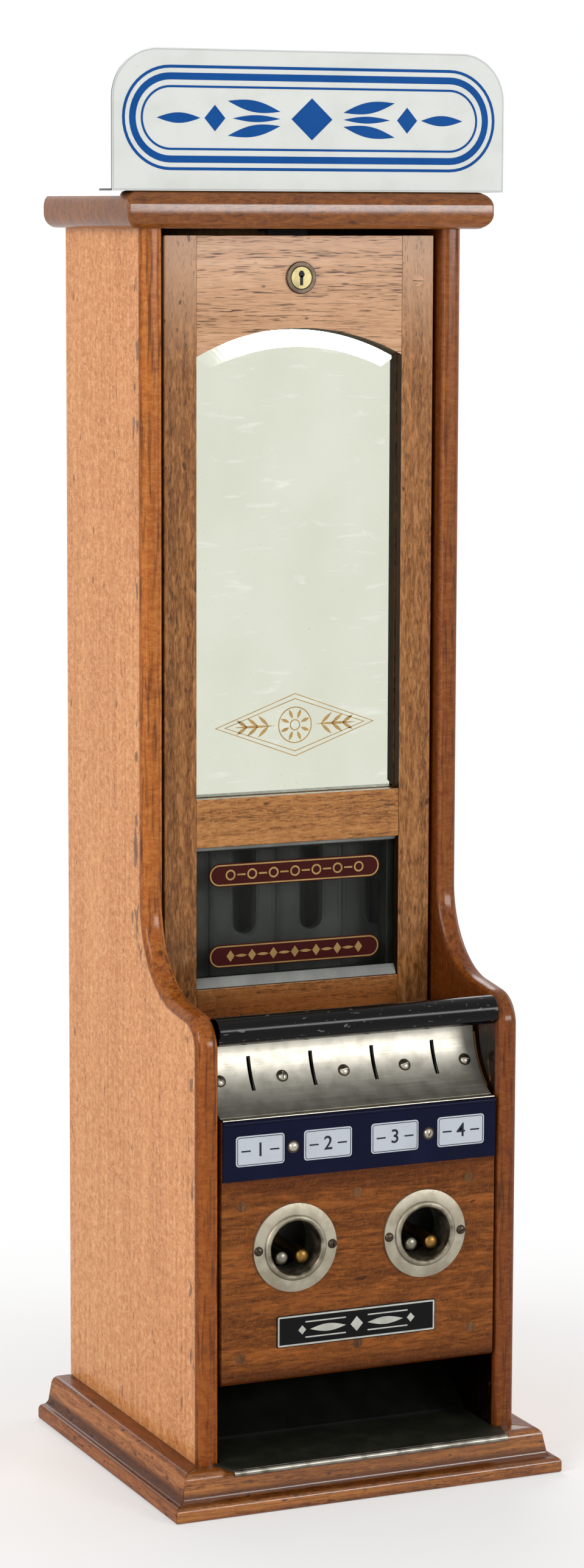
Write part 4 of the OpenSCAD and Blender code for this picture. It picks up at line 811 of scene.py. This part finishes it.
def make_cup(side, x):
    """Flanged nickel cup with a rolled rim; the rim darkens towards the hole, and painted shade darkens the
    sleeve.
    """
    hole_r, roll_r, sleeve_r, rim_r, end, steps = 15.75, 1.9, 17.5, 26.5, 20, 64
    profile = [(hole_r, end)] + arc((hole_r + roll_r, CUP_FACE), roll_r, 180, 360, 14)
    profile += [(rim_r - 0.6, CUP_FACE), (rim_r - 0.15, CUP_FACE + 0.2), (rim_r, CUP_FACE + 0.7)]
    profile += [(rim_r, PANEL_FACE), (sleeve_r, PANEL_FACE), (sleeve_r, end)]

    def grime(r, y):
        sleeve_from, clean_r, fade = 2, 20, 4
        # Darker towards the hole on the rim, and painted shade in the sleeve
        return 0.5 if y > sleeve_from else max(0, min(1, (clean_r - r) / fade))

    turns = [2 * math.pi * i / steps for i in range(steps)]
    rings = [[(x + r * math.cos(a), y, CUP_Z + r * math.sin(a)) for r, y in profile] for a in turns]
    marks = [grime(r, y) for _ in turns for r, y in profile]
    piece = build(side + "_cup_piece", loft(rings, False), ("grime", marks))
    shade(piece)
    dress_node(piece, "cup", side + "_cup")


def make_coin_plate():
    """Hollow nickel plate with its coin slots, as a grid bent round the cove and given its thickness."""
    thick, cove_end, facets, head_z = 1.5, 66, 28, 272.5
    slot_half, slot_length, slot_turn = 1.2, 20.95, 26
    centre_y, centre_z = COIN_CENTRE
    reach = math.degrees(slot_length / 2 / COIN_RADIUS)
    slots = [(i - 1.5) * COIN_PITCH for i in range(4)]
    columns = sorted([-PLATE_HALF, PLATE_HALF] + [s + d for s in slots for d in (-slot_half, slot_half)]
                     + PLATE_SCREW_X)
    turns = sorted([-slot_turn - reach, -slot_turn + reach]
                   + [-cove_end * i / facets for i in range(facets + 1)])
    section = [(centre_y + COIN_RADIUS * math.cos(math.radians(t)),
                centre_z + COIN_RADIUS * math.sin(math.radians(t))) for t in turns]
    # The upright head goes on above the cove, at a turn clear of the slots
    section.append((centre_y + COIN_RADIUS, head_z))
    turns.append(3)
    n = len(section)
    faces = []
    for i in range(len(columns) - 1):
        middle = (columns[i] + columns[i + 1]) / 2
        in_slot = any(abs(middle - s) < slot_half for s in slots)
        for k in range(n - 1):
            if not (in_slot and abs((turns[k] + turns[k + 1]) / 2 + slot_turn) < reach):
                faces.append((i * n + k, i * n + k + 1, (i + 1) * n + k + 1, (i + 1) * n + k))
    piece = build("coin_plate_piece", ([(x, y, z) for x in columns for y, z in section], faces))
    towards_front = sum(face.normal.y for face in piece.data.polygons) < 0
    sheet = piece.modifiers.new("sheet", "SOLIDIFY")
    sheet.thickness, sheet.offset = thick * MM, -1 if towards_front else 1
    bake(piece)
    round_edges(piece, 0.25)
    dress_node(piece, "nickel", "coin_plate")


def make_plate_lip():
    """Rolled bright lip along the foot of the coin plate."""
    back, foot = 5.2, 228.05
    section = [(back, foot), (0.8, foot)] + arc((1.1, foot + 0.65), 0.6, 220, 90, 8) + [(back, foot + 1.45)]
    lip = build("coin_plate_lip", prism(section, "x", -PLATE_HALF, PLATE_HALF))
    shade(lip)
    dress(lip, "screw", "case", "nickel")


def make_window_strips():
    """Grey painted strips that hold the window glass at its foot and head."""
    half, back, low, high = OPENING_HALF - 0.2, GLASS_Y - 0.02, 288.05, 372.9
    foot = [(back - 4.6, low), (back, low), (back, low + 5.95), (back - 1.4, low + 5.55),
            (back - 3.6, low + 2.55)]
    head = [(back - 3, high), (back - 1.6, high - 2.3), (back, high - 2.7), (back, high)]
    for name, section in (("window_foot_strip", foot), ("window_head_strip", head)):
        strip = build(name, prism(section, "x", -half, half))
        round_edges(strip, 0.4)
        dress(strip, "strip", "door", "plain_steel")


paint(soften("enamel_sign", "white rim", 0.3), on_sign_rim)
for node, finish, width in (("coin_hood", "hood", 0.4), ("label_strip", "navy", 0.3),
                            ("product_labels", "pale", 0.25), ("name_plate", "black", 0.2)):
    soften(node, finish, width)
paint(soften("delivery_tray", "tin lip", 0.3), on_tray_lip)
# The delivery chute is near black: painted shade in the delivery opening
soften("delivery_chute", "shade_black_tin", 0.05)
soften("cash_box", "tin", 0.3)
for cup_side, cup_x in zip(("left", "right"), CUP_X):
    make_cup(cup_side, cup_x)
make_coin_plate()
make_plate_lip()
make_window_strips()


# Flat ornament: bands of the sign, borders and plain devices

def dress_sign():
    """Three blue bands round a row of lozenges and leaves, and a worn line along the edge."""
    band_half, z = 88.5, SIGN_MIDDLE

    def stadium(radius):
        return arc((band_half, z), radius, -90, 90, 24) + arc((-band_half, z), radius, 90, 270, 24)

    bands = [(stadium(outer), stadium(inner)) for outer, inner in ((29.7, 28), (25.4, 21.4), (18.3, 17))]
    device = [lozenge(0, z, 26, 24)]
    for s in (-1, 1):
        device += [leaf(s * 20, z + 0.45 * rise, s * 53, z + 1.1 * rise, 6.5) for rise in (-9, 9)]
        device += [leaf(s * 20, z, s * 50, z, 4), lozenge(s * 61, z, 13, 15), leaf(s * 70, z, s * 97, z, 6)]
    dress(flat_work("sign_bands", SIGN_FACE, 0.12, device, bands), "blue", "case", "navy_enamel")

    def outline(inset):
        half, top, corner = 124.4 - inset, SIGN_TOP - inset, 28 - inset
        return ([(-half, BOARD_TOP + inset), (half, BOARD_TOP + inset)]
                + arc((half - corner, top - corner), corner, 0, 90, 16)
                + arc((corner - half, top - corner), corner, 90, 180, 16))

    worn = [(outline(0.5), outline(1.1))]
    dress(flat_work("sign_worn_edge", SIGN_FACE, 0.05, (), worn), "worn_edge", "case", "white_enamel")


def dress_placards():
    """Gilt border on each placard, with a row of rings above and a row of lozenges below."""
    face, line, low, high = GLASS_Y - 0.8, 0.8, 306, 355
    places, between = range(-42, 43, 14), range(-35, 36, 14)
    borders = [framed(0, z, 110.6, 12.6, 6.2, line) for z in (low, high)]
    rings = [(circle(x, high, 3.2), circle(x, high, 2.2)) for x in places]
    bars = [rounded(x, high, 5.5, 1, 0.4) for x in between]
    drops = [lozenge(x, low, 5.2, 7) for x in places]
    drops += [leaf(x - 4, low, x + 4, low, 1.8) for x in between]
    dress(flat_work("placard_gilding", face, 0.1, bars + drops, borders + rings), "gilt", "door", "brass")


def dress_name_plate():
    """Silver border and a plain device on the small black plate."""
    face, x, z = PANEL_FACE - 0.8, -2, 100.5
    device = [lozenge(x, z, 8, 9)]
    for s in (-1, 1):
        device += [leaf(x + s * 7, z, x + s * 30, z, 4.5), lozenge(x + s * 35, z, 5, 5.5)]
        device += [rounded(x + s * 20, z + rise, 26, 0.8, 0.3) for rise in (-4.6, 4.6)]
    border = [framed(x, z, 101, 18, 0.8, 1)]
    dress(flat_work("name_plate_lines", face, 0.1, device, border), "silver", "case", "nickel")


def dress_mirror():
    """Gilt line work near the mirror's foot: a lozenge, a rosette of petals and two sprays of leaves."""
    z, line, wide, high = 443, 0.7, 104, 38
    bands = [(lozenge(0, z, wide - 2 * d, high - d),
              lozenge(0, z, wide - 2 * d - 4 * line, high - d - 1.6 * line)) for d in (0, 6)]
    bands += [(circle(0, z, radius), circle(0, z, radius - line)) for radius in (11, 3.4)]
    leaves = []
    for k in range(8):
        a = math.radians(45 * k + 22.5)
        leaves.append(leaf(4 * math.cos(a), z + 4 * math.sin(a), 10 * math.cos(a), z + 10 * math.sin(a), 2))
    for s in (-1, 1):
        leaves.append(leaf(s * 13, z, s * 40, z, 1.6))
        for x in (17, 24, 31):
            leaves += [leaf(s * x, z, s * (x + 7), z + rise * (1 - x / 60), 2) for rise in (-9, 9)]
    dress(flat_work("mirror_gilding", GLASS_Y, 0.06, leaves, bands), "gilt", "door", "brass")


def dress_plugs():
    """Flush wooden plugs over the fixing screws of the panel and of one stile."""
    places = ((-75, 177.5), (-1.5, 179), (-76, 87), (-1, 88.5), (71, 181), (73, 90))
    plugs = [circle(x, z, 3.2) for x, z in places]
    dress(flat_work("panel_plugs", PANEL_FACE, 0.08, plugs), "plug", "case", "oak")
    dress(flat_work("stile_plug", DOOR_FACE, 0.08, [circle(76.5, 706, 3.4)]), "top_rail", "door", "door_oak")


def dress_keyhole():
    """Dark keyhole eye over the slot of the lock's plug: painted shade of the hole."""
    face = DOOR_FACE - 1.5
    eye = [circle(0, LOCK_Z + 2, 1.9), rounded(0, LOCK_Z - 1.6, 1.8, 5.6, 0.4)]
    dress(flat_work("keyhole", face, 0.06, eye), "ink", "lock", "dark_bronze")


def number_labels():
    """Plain numerals one to four on the labels, each between two short rules, with a thin border."""
    face, size, thick, bolder = STRIP_FACE - 0.6, 11.5, 0.05, 0.12
    for number, x in enumerate(LABEL_X, 1):
        name = f"label_number_{number}"
        text = bpy.data.curves.new(name, "FONT")
        text.body, text.size, text.align_x, text.align_y = str(number), size * MM, "CENTER", "CENTER"
        text.extrude, text.offset = thick * MM, bolder * MM
        written = link(name, text)
        mesh = result_of(written)
        bpy.data.objects.remove(written)
        place = Matrix.Translation(to_frame(x, face, LABEL_Z))
        mesh.transform(place @ Matrix.Rotation(math.radians(90), 4, "X"))
        close(mesh)
        dress(link(name + "_piece", mesh), "ink", "case", "black_enamel")
    rules = [rounded(x + s * 9, LABEL_Z, 6, 0.9, 0.4) for x in LABEL_X for s in (-1, 1)]
    borders = [framed(x, LABEL_Z, 29, 16.5, 1.6, 0.4) for x in LABEL_X]
    dress(flat_work("label_rules", face, thick, rules, borders), "ink", "case", "black_enamel")


dress_sign()
dress_placards()
dress_name_plate()
dress_mirror()
dress_plugs()
dress_keyhole()
number_labels()


# Mechanism

def make_column(number, middle):
    """Magazine column, dark outside and bare inside."""
    half, front, back = 21.2, 122.3, 159.7
    paint(soften(f"magazine_{number}", "magazine bare_tin", 0.25),
          lambda x, y, z, normal: abs(x - middle) < half and front < y < back)


def dome_rod(number, middle, material):
    """Push rod with its front end rubbed to a dome."""
    radius, crown, front, side_from, inset = 4.25, 2.6, 3, 4.3, 0.8
    node = f"push_rod_{number}"
    piece = copy_of(node)
    with editing(piece.data) as work:
        cap = min(work.faces, key=lambda face: face.calc_center_median().y)
        for _ in range(2):
            bmesh.ops.inset_region(work, faces=[cap], thickness=inset * MM)
        bmesh.ops.poke(work, faces=[cap])
        for point in work.verts:
            x, y, z = in_mm(point.co)
            if y < side_from:
                away = min(1, math.hypot(x - middle, z - ROD_Z) / radius)
                point.co.y = (front + crown * (1 - math.sqrt(1 - away ** 2)) - FRAME_SHIFT) * MM
    round_edges(piece, 0.2)
    dress_node(piece, material, node)


def make_column_beads():
    """Half-round beads over the joints between the columns, behind the window."""
    front, radius, foot, head = 121, 1.8, 250, 655
    beads = build("column_beads", join(
        prism(arc((x, front), radius, 180, 360, 12), "z", foot, head) for x in (-44, 0, 44)))
    shade(beads)
    dress(beads, "magazine", "case", "japanned_tin")


for node in ("coin_chutes", "coin_ledge", "rod_guides", "magazine_shelf"):
    soften(node, "steel", 0.25)
for i, (column_x, rod_x) in enumerate(zip(COLUMN_X, ROD_X), 1):
    make_column(i, column_x)
    dome_rod(i, rod_x, "rod" if i % 2 else "brass")
    soften(f"ejector_{i}", "steel", 0.3)
make_column_beads()


# Screws and springs

def new_group(name, inputs, output):
    """Geometry tree with its input sockets and one output, and what its inputs give."""
    tree = bpy.data.node_groups.new(name, "GeometryNodeTree")
    for key, kind in inputs.items():
        tree.interface.new_socket(key, in_out="INPUT", socket_type="NodeSocket" + kind)
    tree.interface.new_socket(output, in_out="OUTPUT", socket_type="NodeSocketGeometry")
    return tree, add(tree, "NodeGroupInput").outputs


def screw_tree():
    """Slotted round heads on points that carry the direction they face, each turned at random."""
    tree, given = new_group("slotted_round_heads", {
        "Seats": "Geometry", "Head Radius": "Float", "Head Height": "Float", "Slot Width": "Float",
        "Finish": "Material"}, "Screws")
    radius, height = given["Head Radius"], given["Head Height"]
    ball = add(tree, "GeometryNodeMeshUVSphere", {"Segments": 32, "Rings": 16, "Radius": 1.0})
    size = add(tree, "ShaderNodeCombineXYZ", {"X": radius, "Y": radius, "Z": height})
    dome = add(tree, "GeometryNodeTransform", {"Geometry": ball.outputs["Mesh"], "Scale": size})
    deep = add(tree, "ShaderNodeMath", {0: height, 1: 1.1}, operation="MULTIPLY")
    wide = add(tree, "ShaderNodeMath", {0: radius, 1: 4.0}, operation="MULTIPLY")
    drop = add(tree, "ShaderNodeMath", {0: wide, 1: -0.5}, operation="MULTIPLY")
    # Two blocks are cut from the ball: the slot, and all that lies below the seat
    cuts = []
    for sides, lift in (((wide, given["Slot Width"], deep), height), ((wide, wide, wide), drop)):
        size = add(tree, "ShaderNodeCombineXYZ", dict(zip("XYZ", sides)))
        place = add(tree, "ShaderNodeCombineXYZ", {"Z": lift})
        block = add(tree, "GeometryNodeMeshCube", {"Size": size}).outputs["Mesh"]
        cuts.append(add(tree, "GeometryNodeTransform", {"Geometry": block, "Translation": place}))
    head = add(tree, "GeometryNodeMeshBoolean", {"Mesh 1": dome, "Mesh 2": cuts}, operation="DIFFERENCE")
    facing = add(tree, "GeometryNodeInputNamedAttribute", {"Name": "facing"}, data_type="FLOAT_VECTOR")
    aimed = add(tree, "FunctionNodeAlignRotationToVector", {"Vector": facing}, axis="Z")
    angle = add(tree, "FunctionNodeRandomValue", {"Min": 0.0, "Max": math.pi, "Seed": 7}, data_type="FLOAT")
    spin = add(tree, "ShaderNodeCombineXYZ", {"Z": angle})
    spin = add(tree, "FunctionNodeEulerToRotation", {"Euler": spin})
    turn = add(tree, "FunctionNodeRotateRotation", {
        "Rotation": aimed, "Rotate By": spin}, rotation_space="LOCAL")
    placed = add(tree, "GeometryNodeInstanceOnPoints", {
        "Points": given["Seats"], "Instance": head.outputs["Mesh"], "Rotation": turn})
    real = add(tree, "GeometryNodeRealizeInstances", {"Geometry": placed})
    finish = add(tree, "GeometryNodeSetMaterial", {"Geometry": real, "Material": given["Finish"]})
    add(tree, "NodeGroupOutput", {"Screws": finish})
    return tree


def spring_tree():
    """Wound wire along Y."""
    tree, given = new_group("wound_springs", {
        "Path": "Geometry", "Turns": "Float", "Coil Radius": "Float", "Wire Radius": "Float",
        "Length": "Float", "Seat": "Vector", "Finish": "Material"}, "Spring")
    coil = add(tree, "GeometryNodeCurveSpiral", {
        "Resolution": 28, "Rotations": given["Turns"], "Start Radius": given["Coil Radius"],
        "End Radius": given["Coil Radius"], "Height": given["Length"]})
    section = add(tree, "GeometryNodeCurvePrimitiveCircle", {
        "Resolution": 10, "Radius": given["Wire Radius"]})
    wire = add(tree, "GeometryNodeCurveToMesh", {"Curve": coil, "Profile Curve": section, "Fill Caps": True})
    laid = add(tree, "GeometryNodeTransform", {
        "Geometry": wire, "Rotation": (-math.pi / 2, 0, 0), "Translation": given["Seat"]})
    real = add(tree, "GeometryNodeRealizeInstances", {"Geometry": laid})
    finish = add(tree, "GeometryNodeSetMaterial", {"Geometry": real, "Material": given["Finish"]})
    add(tree, "NodeGroupOutput", {"Spring": finish})
    return tree


def grow(name, tree, points, values, facing=None):
    """Runs a tree on points in millimetres and keeps its result as a plain mesh."""
    mesh = bpy.data.meshes.new(name)
    mesh.from_pydata([to_frame(*point) for point in points], [], [])
    if facing:
        mesh.attributes.new("facing", "FLOAT_VECTOR", "POINT").data.foreach_set(
            "vector", [c for direction in facing for c in direction])
    piece = link(name, mesh)
    modifier = piece.modifiers.new("grown", "NODES")
    modifier.node_group = tree
    sockets = {item.name: item.identifier for item in tree.interface.items_tree if item.in_out == "INPUT"}
    for key, value in values.items():
        modifier[sockets[key]] = value
    bake(piece)
    shade(piece)
    return piece


SCREWS, SPRINGS = screw_tree(), spring_tree()
FORWARD, BACKWARD, UPWARD = (0, -1, 0), (0, 1, 0), (0, 0, 1)


def set_screws(name, seats, radius, height, finish, slot, *replaced):
    """Screws at seats, each a place and the way it faces."""
    piece = grow(name, SCREWS, [place for place, way in seats], {
        "Head Radius": radius * MM, "Head Height": height * MM, "Slot Width": 0.8 * MM,
        "Finish": MATERIALS[finish]}, [way for place, way in seats])
    dress(piece, finish, "case", slot, *replaced)


def make_seats(seats):
    """Dark rings under the screw heads: painted shadow round each head."""
    radius, sunk, thick = 3.7, -0.3, 0.22
    rings = []
    for place, way in seats:
        turn = Vector(way).to_track_quat("Z", "Y")
        rings.append(loft([[tuple(Vector(place) + turn @ Vector((x, y, lift)))
                            for x, y in circle(0, 0, radius, 24)] for lift in (sunk, thick)]))
    dress(build("painted_screw_shadows", join(rings)), "bronze", "case", "dark_bronze")


def make_screws():
    """Bright screws of the coin plate, the label strip and the sign, and dark ones on the cups and the
    back."""
    turn, lift = math.radians(30), COIN_RADIUS - 0.1
    label_x, sign_x, sign_y, sign_z, cup_half = 43.4, 95, 85, BOARD_TOP + 1.2, 23.4
    plate_y, plate_z = COIN_CENTRE[0] + lift * math.cos(turn), COIN_CENTRE[1] - lift * math.sin(turn)
    plate_way = (0, -math.cos(turn), math.sin(turn))
    front = [((x, plate_y, plate_z), plate_way) for x in PLATE_SCREW_X]
    front += [((s * label_x, STRIP_FACE, LABEL_Z), FORWARD) for s in (-1, 1)]
    top = [((s * sign_x, sign_y, sign_z), UPWARD) for s in (-1, 1)]
    cups = [((x + s * cup_half, CUP_FACE, CUP_Z), FORWARD) for x in CUP_X for s in (-1, 1)]
    back = [((x, BACK_FACE, z), BACKWARD) for x in (-80, -35, 35, 80) for z in (44, 380, 718)]
    set_screws("round_head_screws_piece", front + top, 3, 1.8, "screw", "nickel", "round_head_screws")
    set_screws("cup_screws", cups, 2.8, 1.7, "bronze", "dark_bronze")
    set_screws("back_screws", back, 3, 0.65, "bronze", "dark_bronze")
    make_seats(front)


def make_spring(number, x):
    """Return spring round the tail of a push rod, from its seat to its far end."""
    start, end, wire_r, coil_r, turns = 55.3, 112.75, 0.6, 3.7, 9.0
    node = f"rod_spring_{number}"
    spring = grow(node + "_piece", SPRINGS, [(x, start, ROD_Z)], {
        "Turns": turns, "Coil Radius": coil_r * MM, "Wire Radius": wire_r * MM,
        "Length": (end - start - 2 * wire_r) * MM, "Seat": to_frame(x, start + wire_r, ROD_Z),
        "Finish": MATERIALS["spring"]})
    dress(spring, "spring", "case", SLOTS[node], node)
    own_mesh(spring)


make_screws()
for i, rod_x in enumerate(ROD_X, 1):
    make_spring(i, rod_x)


# Camera and light

def aim_camera():
    """Camera at the photograph's place, worked out from the straight edges of the case."""
    place = (-0.9706, -2.1725, 0.7436)
    yaw, pitch, roll = (math.radians(a) for a in (24.006, 8.036, 0.183))
    ahead = Vector((math.sin(yaw) * math.cos(pitch), math.cos(yaw) * math.cos(pitch), -math.sin(pitch)))
    right = Vector((math.cos(yaw), -math.sin(yaw), 0))
    up = right.cross(ahead)
    right, up = math.cos(roll) * right + math.sin(roll) * up, math.cos(roll) * up - math.sin(roll) * right
    data = bpy.data.cameras.new("photo_camera")
    data.sensor_width, data.lens = 36, 92.43
    camera = link("photo_camera", data)
    turn = Matrix((right, up, -ahead)).transposed().to_4x4()
    camera.matrix_world = Matrix.Translation(place) @ turn
    bpy.context.scene.camera = camera


def softbox(name, place, aim, size, power):
    """Rectangular studio lamp that faces a point."""
    data = bpy.data.lights.new(name, "AREA")
    data.shape, data.size, data.size_y, data.energy = "RECTANGLE", size[0], size[1], power
    lamp = link(name, data)
    lamp.location = place
    lamp.rotation_euler = (Vector(aim) - Vector(place)).to_track_quat("-Z", "Y").to_euler()


def seen_directly(tree):
    """One for what the eye, a reflection or a pane of glass sees of the surroundings."""
    rays = add(tree, "ShaderNodeLightPath").outputs
    seen = add(tree, "ShaderNodeMath", {
        0: rays["Is Camera Ray"], 1: rays["Is Glossy Ray"]}, operation="MAXIMUM")
    return add(tree, "ShaderNodeMath", {0: seen, 1: rays["Is Transmission Ray"]}, operation="MAXIMUM")


def set_studio():
    """White surroundings and soft lamps."""
    scene = bpy.context.scene
    scene.view_settings.view_transform = "Standard"
    world = bpy.data.worlds.new("studio")
    scene.world = world
    world.use_nodes = True
    tree = world.node_tree
    tree.nodes.clear()
    ambient = add(tree, "ShaderNodeBackground", {"Color": srgb("#FFFFFF"), "Strength": 0.36})
    white = add(tree, "ShaderNodeBackground", {"Color": srgb("#FFFFFF"), "Strength": 1})
    both = add(tree, "ShaderNodeMixShader", {0: seen_directly(tree), 1: ambient, 2: white})
    add(tree, "ShaderNodeOutputWorld", {"Surface": both})

    softbox("key_left", (-2.4, -0.9, 1.5), (0, 0, 0.45), (1.0, 1.4), 36)
    softbox("edge_strip", (-1.5, -1.9, 0.7), (0, 0, 0.45), (0.2, 1.2), 6)
    softbox("front_right", (1.4, -2.6, 1.02), (0, 0, 0.7), (0.95, 0.62), 32)
    softbox("back_rim", (0.6, 2.4, 1.7), (0, 0, 0.5), (1.6, 1.2), 30)
    softbox("right_side", (2.6, 0.4, 1.3), (0, 0, 0.45), (1.2, 1.4), 14)


def lay_floor():
    """Pale floor that keeps the shadow and turns white further out."""
    half = 6
    mesh = bpy.data.meshes.new("floor")
    corners = [(-half, -half, 0), (half, -half, 0), (half, half, 0), (-half, half, 0)]
    mesh.from_pydata(corners, [], [(0, 1, 2, 3)])
    floor = link("floor", mesh)
    paper, tree, here = blank("studio_paper")
    away = add(tree, "ShaderNodeVectorMath", {0: here}, operation="LENGTH").outputs["Value"]
    far = add(tree, "ShaderNodeMapRange", {
        "Value": away, "From Min": 0.15, "From Max": 0.6, "To Min": 0.4}, interpolation_type="SMOOTHSTEP")
    share = add(tree, "ShaderNodeMath", {0: far, 1: seen_directly(tree)}, operation="MULTIPLY")
    glow = add(tree, "ShaderNodeEmission", {"Color": srgb("#FFFFFF"), "Strength": 1})
    sheet = add(tree, "ShaderNodeBsdfPrincipled", {
        "Base Color": srgb("#F7F6F4"), "Roughness": 0.9, "Specular IOR Level": 0.1})
    both = add(tree, "ShaderNodeMixShader", {0: share, 1: sheet, 2: glow})
    add(tree, "ShaderNodeOutputMaterial", {"Surface": both})
    mesh.materials.append(paper)


aim_camera()
set_studio()
lay_floor()
